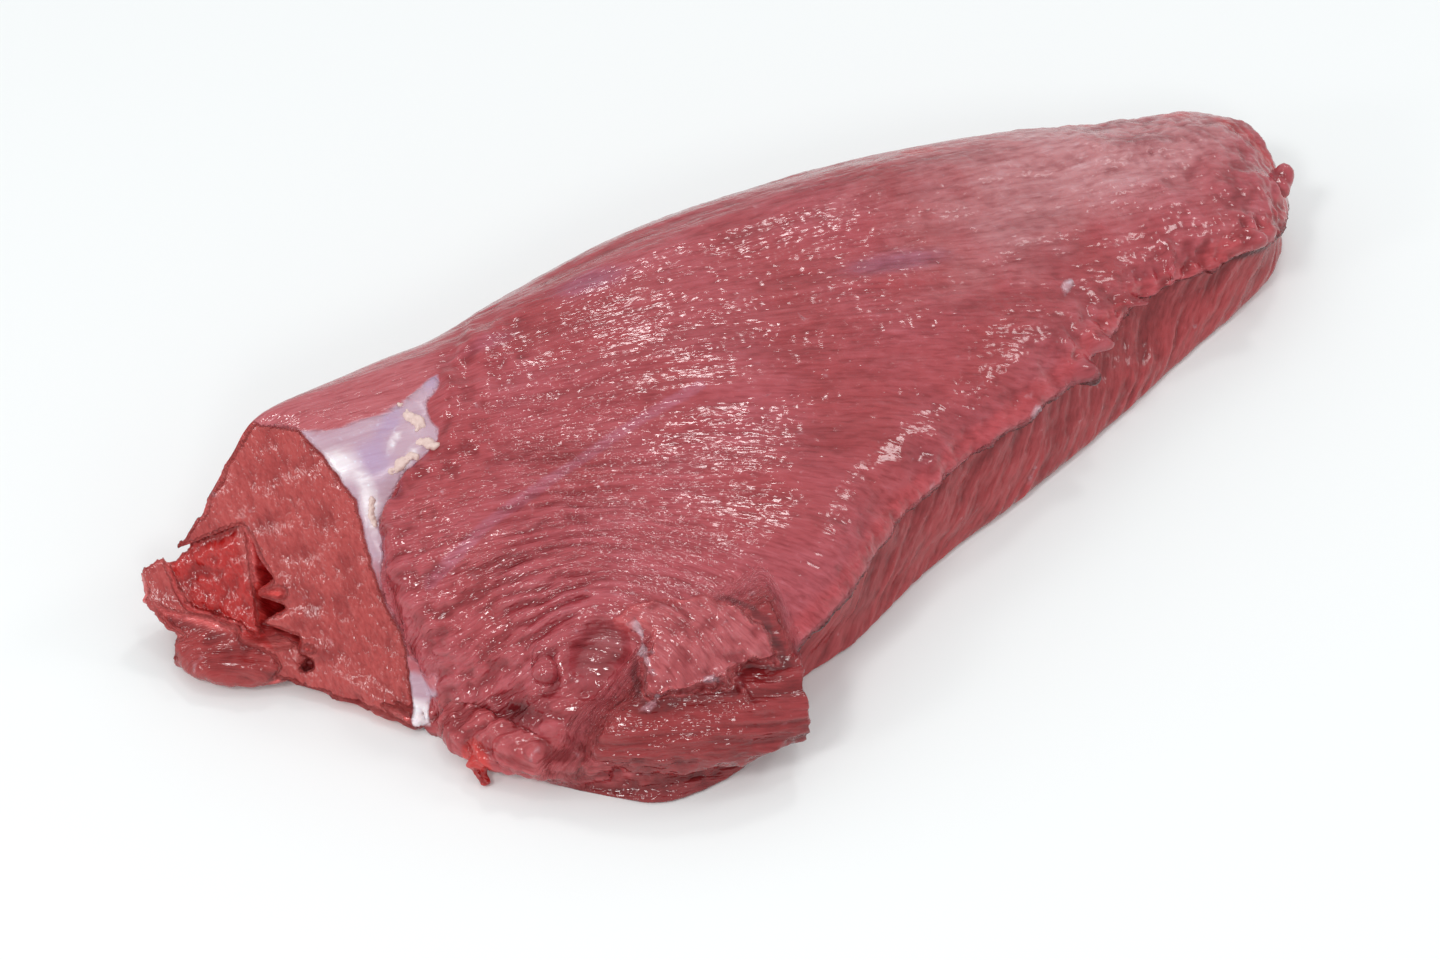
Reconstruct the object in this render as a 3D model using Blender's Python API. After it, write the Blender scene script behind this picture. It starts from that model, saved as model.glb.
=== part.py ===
"""Raw venison petite tender: one trimmed muscle, cut across its thick end and torn open along its front.

The long axis runs along X, from the cut face at -X to the thin end at +X. The front, where the trimming tore
a lip over a strip of bare muscle, faces -Y. The part rests on Z = 0, and the origin is under its middle.
Sizes are in millimetres until a mesh is made, which is in metres.
"""

import bmesh
import bpy
import numpy as np
from mathutils import Matrix, Vector

MM = 0.001

# Driving dimensions
LEFT_END, RIGHT_END = -109.0, 109.0
STATION_STEP = 3.0
SECTION_STEPS = 6
CREST_INSET = 12.0
SHOULDER_RISE = 1.2
LIP_THICKNESS = 4.5
VOXEL = 1.0
TRIANGLES = 11000
BASE_CUT = 0.5
CENTRE = Vector((-0.06, 3.11, 0.0))
MEAT_COLOUR = (0.43, 0.105, 0.115, 1.0)
MEAT_ROUGHNESS = 0.35

# The plan and the height along X, each as (x, value)
SHOULDER_Y = [(-109, 40.8), (-103, 38.4), (-97, 37.9), (-91, 39.4), (-84, 41.3), (-67, 43.3), (-52, 43),
              (-42, 44.6), (-33, 45.5), (-15, 47.2), (5, 47.1), (25, 45), (44, 42), (64, 38.8), (83, 33.8),
              (96, 30.8), (103, 28.6), (109, 25)]
SHOULDER_Z = [(-109, 37), (-85, 37), (-66, 35.2), (-60, 35.4), (-33, 36), (0, 34), (30, 31), (60, 27),
              (83, 23), (100, 19.5), (109, 16.5)]
BACK_BULGE = [(-109, 1.5), (-92, 0.8), (-75, 3.0), (-50, 3.5), (109, 3.5)]
LIP_Y = [(-109, 10), (-95, 8.5), (-88, 0.8), (-84, -3.2), (-80, -7), (-75, -13.5), (-68, -24), (-60, -32),
         (-45, -35), (-30, -34), (-20, -31), (-8, -24.5), (12, -18.8), (30, -15.5), (42, -11.5), (52, -7),
         (62, -4), (84, -3), (97, 0), (104, 6), (109, 11)]
LIP_Z = [(-109, 9), (-81, 8), (-70, 12), (-60, 15), (-40, 18), (-20, 21), (0, 22), (30, 21), (60, 19.5),
         (85, 17.5), (100, 14), (109, 9)]
BELLY_Y = [(-109, 8), (-88, 0.8), (-84, -4.4), (-80, -11.5), (-75, -21.5), (-68, -31), (-62, -37), (-55, -39),
           (-45, -38.5), (-36, -32), (-28, -29.5), (-17, -28), (2, -22.4), (23, -18), (48, -13), (73, -6.8),
           (92, -1.8), (99, 1), (105, 6), (109, 11)]
CREST_RISE = [(-109, 0), (-86, 0.3), (-78, 1.5), (-68, 3.4), (-58, 4), (109, 4)]
TOP_FULLNESS = [(-109, 0.85), (-84, 0.82), (-74, 0.74), (-62, 0.65), (109, 0.65)]
GROOVE = [(-109, 0), (-40, 0), (-22, 2.5), (0, 3), (85, 2.5), (100, 1), (109, 0)]

# The knife cut across the thick end: a corner of it, the way out of it, and the way up its rim
CUT_CORNER = Vector((-84.0, -1.5, 4.0))
CUT_OUT = Vector((-0.642, -0.501, 0.580)).normalized()
CUT_UP = Vector((0.042, 0.722, 0.690)).normalized()
CUT_SIDE = CUT_UP.cross(CUT_OUT)
# Up the rim of the cut face: how far over the rim lies, how far over the main muscle starts, and how much
# lower the silverskin between them is there
RIM = [(-16, -2, 0.5, 0), (-1, -0.5, 3.4, 0.2), (4, 1, 4, 0.2), (8.5, 2.6, 4.6, 0.2), (13, 2.9, 4.8, 0.2),
       (18, 2.2, 4.6, 0.2), (24, 2.6, 5.5, 0.5), (28, 3.4, 6.4, 0.8), (30.2, 3.9, 7.6, 1.2),
       (34.6, 4.3, 12.8, 2.8), (36.2, 3.9, 15.8, 4), (38.2, 3.4, 19.6, 6), (42.7, 2.2, 19, 7.8),
       (45.1, 1.3, 18.4, 8.6), (48.3, -0.1, 12, 5.6), (50, -3, 6, 3), (51.3, -5.8, 1, 0.8),
       (52.4, -7.6, -2, 0.5), (60, -22, -21, 0)]
# The way from the edge of that floor up over the main muscle, as how far beyond it and how much higher
FLANK = [(1.5, 2), (4.5, 3.8), (9, 5), (14, 60)]
# The torn pocket in it, as a hinge line and a step line with the depth at each end
POCKET_HINGE = ((-94.6, 33.2, 23.2), (-100.2, 19.7, 4.6))
POCKET_STEP = ((-93.2, 31.5, 22), (-92.6, 13.5, 5))
POCKET_DEPTH = (2.5, 9.5)
# The rough, wetter part of the cut face beside it, in the plane of X and Z, and how far it is sunk
SUNK = [(-93.6, 23.2), (-95, 22.7), (-105.3, 16.6), (-106, 12), (-103, 4), (-101, 0), (-98.5, 0)]
SUNK_DEPTH = 1.0
# The hollow under its lower edge
HOLLOW = ((-116, 32, 7), (-85, -6, 2), (-97, 36, -1), (-75, 5, -1), (-116, 32, -1), (-85, -6, -1))
# The slope under the tip of the thick end
HEEL = ((-110, 20, 11), (-110, 50, 11), (-104, 20, -1), (-104, 50, -1), (-120, 20, 11), (-120, 50, 11),
        (-120, 20, -1), (-120, 50, -1))

# Rolls of muscle and torn shreds, each as points, half widths, half depths and the way its depth lies
UP = (0, 0, 1)
ROLLS = {
    "lobe": (((-106.3, 33, 3.6), (-103, 27, 4.2), (-98, 23.4, 4.3), (-93, 21.4, 4.3), (-89.3, 21.6, 4.3)),
             (5, 6.6, 6.9, 6.4, 4.8), (3.4, 4, 4.2, 4.2, 3.7), UP),
    "ledge": (((-109.6, 39, 10.8), (-107.8, 34, 8.6), (-104.5, 29, 8.3), (-100.9, 24.4, 8.1)),
              (1.6, 2.6, 2.8, 2), (0.9, 1.1, 1.1, 1), CUT_OUT),
    "fringe": (((-92.5, 15, 6.4), (-90, 8.5, 5), (-87, 1.8, 3.4), (-84.2, -3.6, 2.2)), (1.2, 1.6, 1.6, 1.4),
               (1, 1.1, 1.2, 1.2), CUT_OUT),
    "strap": (((-75, -6, 6), (-66, -19, 8.5), (-56, -29, 9.8), (-45, -35, 10.3), (-34.8, -39.8, 10.3)),
              (5, 8.5, 10.5, 10.5, 7.8), (4, 7.5, 8, 8, 7.2), UP),
    "foot": (((-80.5, -5, 4.2), (-80, -10.5, 4.5), (-76.8, -17.2, 4.8), (-70.9, -24.3, 5), (-64, -29, 5)),
             (3.3, 4, 4.4, 4.8, 5), (3.5, 4.3, 4.7, 4.8, 4.8), UP),
    "flap_high": (((-90, 21, 15.8), (-93.2, 23, 15.4), (-96.2, 25.4, 14.8)), (3.2, 2.2, 0.5),
                  (1.1, 1, 0.6), CUT_OUT),
    "flap_low": (((-90, 16.5, 12), (-93.4, 19.6, 11.8), (-97, 22.6, 11.2)), (3.4, 2.4, 0.5),
                 (1.1, 1, 0.6), CUT_OUT),
    "nub": (((-90, 13, 8), (-92.6, 15.2, 8.4), (-94.3, 16.6, 8.6)), (2.4, 2, 1.2), (1.6, 1.5, 1), CUT_OUT),
    "droplet": (((-67.5, -15.5, 20), (-68.6, -17.2, 19.2), (-69.8, -19, 17.6)), (0.8, 1.0, 1.3),
                (0.8, 1, 1.1), UP),
    "hook": (((-44.5, -35, 17.5), (-45.8, -39, 17.8), (-45.6, -41.6, 16.2), (-44.2, -42.8, 15)),
             (1.2, 0.9, 0.9, 0.8), (1.2, 0.9, 0.9, 0.8), UP),
    "floor_shred": (((-77.5, -13.5, 6), (-80.4, -15.6, 4.8), (-82, -17.6, 2.8), (-82.2, -20, 1.1)),
                    (3, 2, 1.3, 0.8), (2, 1.5, 1.1, 0.8), UP),
    "lip_ribbon": (((73, 2.5, 21.8), (71.5, -1.8, 21.4), (70, -4.8, 18.6)), (1.4, 1.3, 0.7),
                   (1.1, 1, 0.7), UP),
    "lip_tip_1": (((83, 0, 18), (87.5, -2.6, 17.8), (91, -4.4, 17)), (2.8, 2, 0.6), (1.4, 1.2, 0.6), UP),
    "lip_tip_2": (((55.5, -1.5, 20.5), (60, -4.8, 19.9), (63, -6.8, 18.9)), (3.2, 2.2, 0.7),
                  (1.6, 1.4, 0.7), UP),
    "lip_tip_3": (((44.5, -6.5, 20.5), (48.5, -9.6, 20), (51, -11.4, 19)), (2.8, 1.9, 0.7),
                  (1.5, 1.3, 0.7), UP),
    "lip_tip_4": (((39.5, -9.5, 20), (42.6, -13.2, 19.2), (44.6, -15.4, 17.6)), (2.8, 1.9, 0.8),
                  (1.5, 1.3, 0.8), UP),
    "end_tip": (((102, 9.2, 11.5), (106.2, 9.6, 13.2), (108.6, 9.8, 15)), (3, 2, 0.8), (2.4, 1.6, 0.8), UP),
}

# Where the fibres fan out from, and how wide their folds are
FAN_CENTRE = (-139.0, 50.0)
FAN_RADIUS = 140.0
# The outline of the main muscle seen from above, its edge over the silverskin first
MUSCLE = [(-82.8, -6), (-81.6, -1), (-81.0, 4), (-80.5, 10), (-79.2, 14), (-76.8, 17.4), (-71.5, 18.8),
          (-64.3, 20.2), (-62.0, 26), (-55, 31), (-50, 36), (-40, 50), (300, 50), (300, -200), (-82.8, -200)]
EDGE_RISE = 1.0
DENT = (-60.5, -22.0)
DENT_RADIUS = 4.3
DENT_DEPTH = 2.8
# The torn sheet beside the dent
SHEET = [(-57.0, -20.5), (-54.5, -25.5), (-58.0, -29.0), (-58.8, -32.5), (-52.5, -34.3), (-47.5, -37.8),
         (-42.0, -35.5), (-37.8, -37.2), (-37.2, -33.0), (-43.0, -25.0), (-51.0, -20.5)]
SHEET_RISE = 1.4


def curve(points):
    """A smooth function of x through the given (x, value) points."""
    xs, values = np.array(points, float).T
    slopes = np.gradient(values, xs)

    def at(x):
        k = int(np.clip(np.searchsorted(xs, x) - 1, 0, len(xs) - 2))
        span = xs[k + 1] - xs[k]
        t = min(max((x - xs[k]) / span, 0.0), 1.0)
        start, end = values[k], values[k + 1]
        return (
            (2 * t**3 - 3 * t**2 + 1) * start
            + (t**3 - 2 * t**2 + t) * span * slopes[k]
            + (3 * t**2 - 2 * t**3) * end
            + (t**3 - t**2) * span * slopes[k + 1]
        )

    return at


def smooth_loop(controls, steps=SECTION_STEPS):
    """Points along a closed Catmull-Rom curve, the same number between each two controls."""
    p = np.array(controls, float)
    t = np.linspace(0, 1, steps, endpoint=False)[:, None]
    pieces = []
    for k in range(len(p)):
        a, b, c, d = (p[(k + i) % len(p)] for i in (-1, 0, 1, 2))
        pieces.append(b + 0.5 * t * (c - a + t * (2 * a - 5 * b + 4 * c - d + t * (3 * (b - c) + d - a))))
    return np.vstack(pieces)


def body_rings():
    """The muscle's cross-sections, one every STATION_STEP along X."""
    names = (SHOULDER_Y, SHOULDER_Z, LIP_Y, LIP_Z, BELLY_Y, GROOVE, BACK_BULGE, CREST_RISE, TOP_FULLNESS)
    shoulder_y, shoulder_z, lip_y, lip_z, belly_y, groove, swell, crest, fullness = map(curve, names)
    rings = []
    for x in np.linspace(LEFT_END, RIGHT_END, round((RIGHT_END - LEFT_END) / STATION_STEP) + 1):
        back, high, lip, low, belly = (f(x) for f in (shoulder_y, shoulder_z, lip_y, lip_z, belly_y))
        width = back - lip
        crest_y = back - min(CREST_INSET, 0.35 * width)
        crest_z = high + crest(x) * min(1.0, width / 40)
        bulge = swell(x) * min(1.0, width / 40)
        top = [
            (lip + share * (crest_y - lip), low + (crest_z - low) * share ** fullness(x))
            for share in (0.75, 0.5, 0.25, 0.08)
        ]
        under = low - LIP_THICKNESS * min(1.0, low / 12)
        section = [
            (back + 0.4 * bulge, 0.0),
            (back + bulge, 0.38 * high),
            (back + 0.45 * bulge, 0.78 * high),
            (back - 3.0, high + SHOULDER_RISE),
            (crest_y, crest_z),
            *top,
            (lip - 1.5, low - 1.8),
            (lip + groove(x), under),
            (0.5 * (lip + groove(x) + belly), 0.62 * under),
            (belly, 0.3 * under),
            (belly + 2.0, 0.0),
            (0.5 * (belly + back), 0.0),
        ]
        loop = smooth_loop(section)
        loop[:, 1] = np.maximum(loop[:, 1], 0.0)
        rings.append(np.column_stack([np.full(len(loop), x), loop]))
    return rings


def loft(name, rings):
    """A closed mesh through rings of the same number of points, with a fan over each end."""
    mesh = bmesh.new()
    rows = [[mesh.verts.new(Vector(point) * MM) for point in ring] for ring in rings]
    for row, after in zip(rows, rows[1:]):
        for k in range(len(row)):
            nxt = (k + 1) % len(row)
            mesh.faces.new((row[k], row[nxt], after[nxt], after[k]))
    for row in (rows[0], rows[-1]):
        hub = mesh.verts.new(sum((v.co for v in row), Vector()) / len(row))
        for k in range(len(row)):
            mesh.faces.new((row[k], hub, row[(k + 1) % len(row)]))
    bmesh.ops.recalc_face_normals(mesh, faces=mesh.faces)
    data = bpy.data.meshes.new(name)
    mesh.to_mesh(data)
    mesh.free()
    made = bpy.data.objects.new(name, data)
    bpy.context.scene.collection.objects.link(made)
    return made


def hull(name, corners):
    """A convex solid over the given corners."""
    mesh = bmesh.new()
    for corner in corners:
        mesh.verts.new(Vector(corner) * MM)
    bmesh.ops.convex_hull(mesh, input=mesh.verts)
    bmesh.ops.recalc_face_normals(mesh, faces=mesh.faces)
    data = bpy.data.meshes.new(name)
    mesh.to_mesh(data)
    mesh.free()
    made = bpy.data.objects.new(name, data)
    bpy.context.scene.collection.objects.link(made)
    return made


def roll(name, path, widths, depths, up, steps=5, sides=14):
    """A closed roll along a smoothed path, its half widths across the path and its half depths along up."""
    p = np.array(path, float)
    ends = np.vstack([2 * p[0] - p[1], p, 2 * p[-1] - p[-2]])
    spots = np.linspace(0, len(p) - 1, steps * (len(p) - 1) + 1)
    turns = np.linspace(0, 2 * np.pi, sides, endpoint=False)
    centres = []
    for spot in spots:
        k = min(int(spot), len(p) - 2)
        t = spot - k
        a, b, c, d = ends[k : k + 4]
        centres.append(b + 0.5 * t * (c - a + t * (2 * a - 5 * b + 4 * c - d + t * (3 * (b - c) + d - a))))
    centres = np.array(centres)
    heading = np.gradient(centres, axis=0)
    rings = []
    for spot, centre, ahead in zip(spots, centres, heading):
        side = np.cross(ahead, up)
        side /= np.linalg.norm(side)
        rise = np.cross(side, ahead)
        rise /= np.linalg.norm(rise)
        width = np.interp(spot, range(len(p)), widths)
        depth = np.interp(spot, range(len(p)), depths)
        rings.append(centre + width * np.outer(np.cos(turns), side) + depth * np.outer(np.sin(turns), rise))
    return loft(name, rings)


def settle(made):
    """Replaces a mesh by what its modifiers make of it."""
    graph = bpy.context.evaluated_depsgraph_get()
    data = bpy.data.meshes.new_from_object(made.evaluated_get(graph))
    made.modifiers.clear()
    made.data = data


def cut(made, cutter):
    """Takes the cutter out of the solid."""
    step = made.modifiers.new("cut", "BOOLEAN")
    step.operation = "DIFFERENCE"
    step.solver = "EXACT"
    step.object = cutter
    settle(made)
    bpy.data.objects.remove(cutter)


def knife():
    """The block that the knife took off the thick end, its floor sinking past the rim to the silverskin."""
    rings = []
    for up, rim, edge, drop in RIM:
        outline = [(-75, 0), (rim, 0), (0.5 * (rim + edge), -0.4 * drop), (edge, -drop)]
        outline += [(edge + beyond, higher - drop) for beyond, higher in FLANK] + [(-75, 60)]
        rings.append([CUT_CORNER + side * CUT_SIDE + up * CUT_UP + out * CUT_OUT for side, out in outline])
    return loft("knife", rings)


def pocket():
    """The wedge torn out of the cut face, its floor falling from the hinge to the foot of the step."""
    corners = []
    for near, step, depth in zip(POCKET_HINGE, POCKET_STEP, POCKET_DEPTH):
        corners += [Vector(near) - SUNK_DEPTH * CUT_OUT, Vector(near) + 25 * CUT_OUT]
        corners += [Vector(step) - depth * CUT_OUT, Vector(step) + 25 * CUT_OUT]
    return hull("pocket", corners)


def bared():
    """The shallow block torn off the cut face beside the pocket."""
    corners = []
    for x, z in SUNK:
        y = CUT_CORNER.y - (CUT_OUT.x * (x - CUT_CORNER.x) + CUT_OUT.z * (z - CUT_CORNER.z)) / CUT_OUT.y
        corners += [Vector((x, y, z)) - SUNK_DEPTH * CUT_OUT, Vector((x, y, z)) + 20 * CUT_OUT]
    return hull("bared", corners)


def join(made, others):
    """Puts the other meshes into this one."""
    mesh = bmesh.new()
    for piece in (made, *others):
        mesh.from_mesh(piece.data)
    mesh.to_mesh(made.data)
    mesh.free()
    for piece in others:
        bpy.data.objects.remove(piece)


def skin(made, voxel):
    """One closed surface over everything in the mesh."""
    step = made.modifiers.new("skin", "REMESH")
    step.mode = "VOXEL"
    step.voxel_size = voxel * MM
    smooth = made.modifiers.new("smooth", "SMOOTH")
    smooth.factor = 0.5
    smooth.iterations = 3
    settle(made)


def whole(made):
    """Drops the crumbs that the cuts leave beside the body."""
    mesh = bmesh.new()
    mesh.from_mesh(made.data)
    loose = set(mesh.verts)
    groups = []
    while loose:
        reached = [loose.pop()]
        for vertex in reached:
            near = {edge.other_vert(vertex) for edge in vertex.link_edges} & loose
            loose -= near
            reached.extend(near)
        groups.append(reached)
    body = max(groups, key=len)
    crumbs = [vertex for group in groups if group is not body for vertex in group]
    bmesh.ops.delete(mesh, geom=crumbs, context="VERTS")
    mesh.to_mesh(made.data)
    mesh.free()


def noise(points, seed):
    """Smooth seeded noise from -1 to 1, with a cell one unit wide."""
    base = np.floor(points).astype(np.int64)
    part = points - base
    part = part * part * part * (part * (part * 6 - 15) + 10)
    total = np.zeros(len(points))
    for corner in range(8):
        bits = np.array([corner & 1, corner >> 1 & 1, corner >> 2])
        cell = base + bits
        key = cell[:, 0] * 73856093 ^ cell[:, 1] * 19349663 ^ cell[:, 2] * 83492791 ^ seed * 40503
        key = (key ^ key >> 13) * 1274126177 & 0x7FFFFFFF
        key = (key ^ key >> 15) * 668265263 & 0x7FFFFFFF
        value = (key >> 8 & 0xFFFF) / 32767.5 - 1
        total += value * np.prod(np.where(bits == 1, part, 1 - part), axis=1)
    return total


def ease(value):
    """0 below 0, 1 above 1, and smooth between."""
    value = np.clip(value, 0, 1)
    return value * value * (3 - 2 * value)


def inside(points, outline):
    """How deep each (x, y) point lies inside an outline, less than 0 outside it."""
    corners = np.array(outline, float)
    near = np.full(len(points), 1e9)
    odd = np.zeros(len(points), bool)
    for start, end in zip(corners, np.roll(corners, -1, axis=0)):
        way = end - start
        share = np.clip((points - start) @ way / (way @ way), 0, 1)
        near = np.minimum(near, np.hypot(*(points - start - np.outer(share, way)).T))
        span = (points[:, 1] < start[1]) != (points[:, 1] < end[1])
        rise = way[1] if way[1] else 1e-9
        odd ^= span & (points[:, 0] < start[0] + (points[:, 1] - start[1]) / rise * way[0])
    return np.where(odd, near, -near)


def relief(points, normals):
    """How far each point of the surface stands out, in millimetres."""
    x, y, z = points.T
    fan = points[:, :2] - FAN_CENTRE
    across = np.arctan2(fan[:, 1], fan[:, 0]) * FAN_RADIUS
    along = np.hypot(*fan.T)
    from_rim = (points - CUT_CORNER) @ CUT_SIDE
    from_rim -= np.interp((points - CUT_CORNER) @ CUT_UP, *np.array(RIM)[:, :2].T)
    on_cut = ease(4 - 2 * np.abs((points - CUT_CORNER) @ CUT_OUT)) * ease(normals @ CUT_OUT * 5 - 3)
    on_cut *= ease((-70 - x) / 4) * ease(0.5 - from_rim)
    free = 1 - on_cut

    rise = 0.8 * noise(points / 35, 1)
    rise += 0.5 * noise(np.column_stack([across / 7, along / 55, z / 9]), 2)
    rise += 0.3 * noise(np.column_stack([across / 3.6, along / 28, z / 5]), 3)

    past = inside(points[:, :2], MUSCLE) + 0.9 * noise(points / 4, 4)
    high = ease((z - 3) / 5)
    high *= ease((41 - y) / 8)
    rise += high * EDGE_RISE * ease(past / 2.5) * (0.3 + 0.7 * np.exp(-np.clip(past, 0, 99) / 16))
    rise += high * 0.9 * noise(points / 4.5, 5) * np.exp(-(((past - 4) / 6) ** 2))

    apart = np.hypot(x - DENT[0], (y - DENT[1]) * 1.15) + 0.8 * noise(points / 5, 6)
    front = ease((z - 10) / 5)
    hollow = apart + 0.22 * (y - DENT[1] + 0.9 * (x - DENT[0]))
    rise -= front * DENT_DEPTH * np.exp(-((hollow / DENT_RADIUS) ** 4))
    rise += front * 0.6 * np.exp(-(((apart - 6.2) / 1.5) ** 2)) * ease((y - DENT[1] + 3) / 5)
    wave = np.sin(apart * 2 * np.pi / 5.2 + 3 * noise(points / 11, 7))
    bands = ease((apart - 8) / 3) * ease((30 - apart) / 8) * ease((-48 - x) / 10) * ease((y + 30) / 12)
    rise += 0.4 * bands * wave * (0.6 + 0.8 * noise(points / 8, 13))
    pleats = np.sin((0.5 * x + 0.86 * y + 1.2 * z) * 2 * np.pi / 5.5 + 2.5 * noise(points / 10, 14))
    rise += 0.4 * pleats * ease((-27 - y) / 8) * ease((-40 - x) / 8) * ease((z - 2) / 3)

    within = inside(points[:, :2], SHEET) + 0.9 * noise(points / 3, 8)
    rise += ease((z - 12) / 3) * SHEET_RISE * ease(within / 0.9)

    rise += 0.6 * noise(points / 5, 9) * ease((x - 55) / 30) * ease((z - 8) / 6)
    lip = y - np.interp(x, *np.array(LIP_Y).T)
    edge = np.exp(-((lip / 4) ** 2)) * ease((x + 40) / 30) * ease((z - 10) / 4)
    rise += 0.9 * edge * noise(points / 4.5, 10)
    foot = ease((9 - z) / 4) * ease((-5 - lip) / 8 + 1) * ease((-20 - x) / 20)
    rise += 0.8 * foot * noise(points / 5.5, 11)
    rough = ease(inside(points[:, ::2], SUNK) / 1.5)
    cut_rise = 0.2 * noise(points / 3, 12) + rough * 0.5 * noise(points / 3.5, 16)
    return rise * free * ease(z / 3) + cut_rise * on_cut


def stand(made):
    """Cuts the base flat and puts the middle of the footprint on the origin."""
    corners = [(x, y, z) for x in (-150, 150) for y in (-80, 80) for z in (BASE_CUT - 20, BASE_CUT)]
    cut(made, hull("floor", corners))
    made.data.transform(Matrix.Translation(-(CENTRE + Vector((0, 0, BASE_CUT))) * MM))


def paint(made):
    """The raw muscle's own material."""
    material = bpy.data.materials.new("raw_meat")
    material.use_nodes = True
    surface = material.node_tree.nodes["Principled BSDF"]
    surface.inputs["Base Color"].default_value = MEAT_COLOUR
    surface.inputs["Roughness"].default_value = MEAT_ROUGHNESS
    surface.inputs["Metallic"].default_value = 0.0
    made.data.materials.clear()
    made.data.materials.append(material)


def shape():
    """The whole piece, as one closed surface."""
    meat = loft("meat", body_rings())
    cut(meat, knife())
    cut(meat, pocket())
    cut(meat, bared())
    cut(meat, hull("hollow", HOLLOW))
    cut(meat, hull("heel", HEEL))
    join(meat, [roll(name, *sizes) for name, sizes in ROLLS.items()])
    skin(meat, VOXEL)
    whole(meat)
    data = meat.data
    count = len(data.vertices)
    points = np.empty(3 * count)
    normals = np.empty(3 * count)
    data.vertices.foreach_get("co", points)
    data.vertices.foreach_get("normal", normals)
    points = points.reshape(-1, 3) / MM
    normals = normals.reshape(-1, 3)
    points += normals * relief(points, normals)[:, None]
    data.vertices.foreach_set("co", points.ravel() * MM)
    data.update()
    return meat


def main():
    for old in list(bpy.data.objects):
        bpy.data.objects.remove(old)
    meat = shape()
    fewer = meat.modifiers.new("fewer", "DECIMATE")
    fewer.ratio = TRIANGLES / (2 * len(meat.data.polygons))
    settle(meat)
    stand(meat)
    paint(meat)


main()
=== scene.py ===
"""Looks of the raw venison petite tender.

The muscle is built again from the part's own sizes at a fine resolution, with its fibres, folds and torn
edges, and is painted by region. Row frame: X from the knife cut to the thin end, -Y the torn front, Z up.
Sizes are in millimetres until a mesh is made, which is in metres.
"""

import math

import bmesh
import bpy
import numpy as np
from mathutils import Matrix, Vector


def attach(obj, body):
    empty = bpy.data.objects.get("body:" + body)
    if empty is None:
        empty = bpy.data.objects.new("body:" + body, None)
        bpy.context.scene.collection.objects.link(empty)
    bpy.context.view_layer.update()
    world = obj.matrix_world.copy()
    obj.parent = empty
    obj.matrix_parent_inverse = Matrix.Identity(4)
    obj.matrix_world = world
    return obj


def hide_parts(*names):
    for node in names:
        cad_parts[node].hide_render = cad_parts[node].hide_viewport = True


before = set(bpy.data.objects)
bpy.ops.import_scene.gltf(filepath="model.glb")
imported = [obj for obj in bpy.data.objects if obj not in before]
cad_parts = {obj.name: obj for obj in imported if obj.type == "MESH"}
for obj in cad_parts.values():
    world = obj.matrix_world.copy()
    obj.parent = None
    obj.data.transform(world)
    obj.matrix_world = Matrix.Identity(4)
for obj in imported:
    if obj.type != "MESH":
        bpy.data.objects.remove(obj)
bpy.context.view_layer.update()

MM = 0.001

# Driving dimensions
LEFT_END, RIGHT_END = -109.0, 109.0
STATION_STEP = 1.5
SECTION_STEPS = 6
CREST_INSET = 12.0
SHOULDER_RISE = 1.2
LIP_THICKNESS = 4.5
VOXEL = 0.5
TRIANGLES = 190000
# The point that becomes the origin: the middle of the footprint, as high as the base is cut
BASE_CUT = 0.5
ORIGIN = Vector((-0.06, 3.11, BASE_CUT))

# The plan and the height along X, each as (x, value)
SHOULDER_Y = [(-109, 40.8), (-103, 38.4), (-97, 37.9), (-91, 39.4), (-84, 41.3), (-67, 43.3), (-52, 43),
              (-42, 44.6), (-33, 45.5), (-15, 47.2), (5, 47.1), (25, 45), (44, 42), (64, 38.8), (83, 33.8),
              (96, 30.8), (103, 28.6), (109, 25)]
SHOULDER_Z = [(-109, 37), (-85, 37), (-66, 35.2), (-60, 35.4), (-33, 36), (0, 34), (30, 31), (60, 27),
              (83, 23), (100, 19.5), (109, 16.5)]
BACK_BULGE = [(-109, 1.5), (-92, 0.8), (-75, 3.0), (-50, 3.5), (109, 3.5)]
LIP_Y = [(-109, 10), (-95, 8.5), (-88, 0.8), (-84, -3.2), (-80, -7), (-75, -13.5), (-68, -24), (-60, -32),
         (-45, -35), (-30, -34), (-20, -31), (-8, -24.5), (12, -18.8), (30, -15.5), (42, -11.5), (52, -7),
         (62, -4), (84, -3), (97, 0), (104, 6), (109, 11)]
LIP_Z = [(-109, 9), (-81, 8), (-70, 12), (-60, 15), (-40, 18), (-20, 21), (0, 22), (30, 21), (60, 19.5),
         (85, 17.5), (100, 14), (109, 9)]
BELLY_Y = [(-109, 8), (-88, 0.8), (-84, -4.4), (-80, -11.5), (-75, -21.5), (-68, -31), (-62, -37),
           (-55, -39), (-45, -38.5), (-36, -32), (-28, -29.5), (-17, -28), (2, -22.4), (23, -18), (48, -13),
           (73, -6.8), (92, -1.8), (99, 1), (105, 6), (109, 11)]
CREST_RISE = [(-109, 0), (-86, 0.3), (-78, 1.5), (-68, 3.4), (-58, 4), (109, 4)]
TOP_FULLNESS = [(-109, 0.85), (-84, 0.82), (-74, 0.74), (-62, 0.65), (109, 0.65)]
GROOVE = [(-109, 0), (-40, 0), (-22, 2.5), (0, 3), (85, 2.5), (100, 1), (109, 0)]

# The knife cut across the thick end: a corner of it, the way out of it, and the way up its rim
CUT_CORNER = Vector((-84.0, -1.5, 4.0))
CUT_OUT = Vector((-0.642, -0.501, 0.580)).normalized()
CUT_UP = Vector((0.042, 0.722, 0.690)).normalized()
CUT_SIDE = CUT_UP.cross(CUT_OUT)
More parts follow.
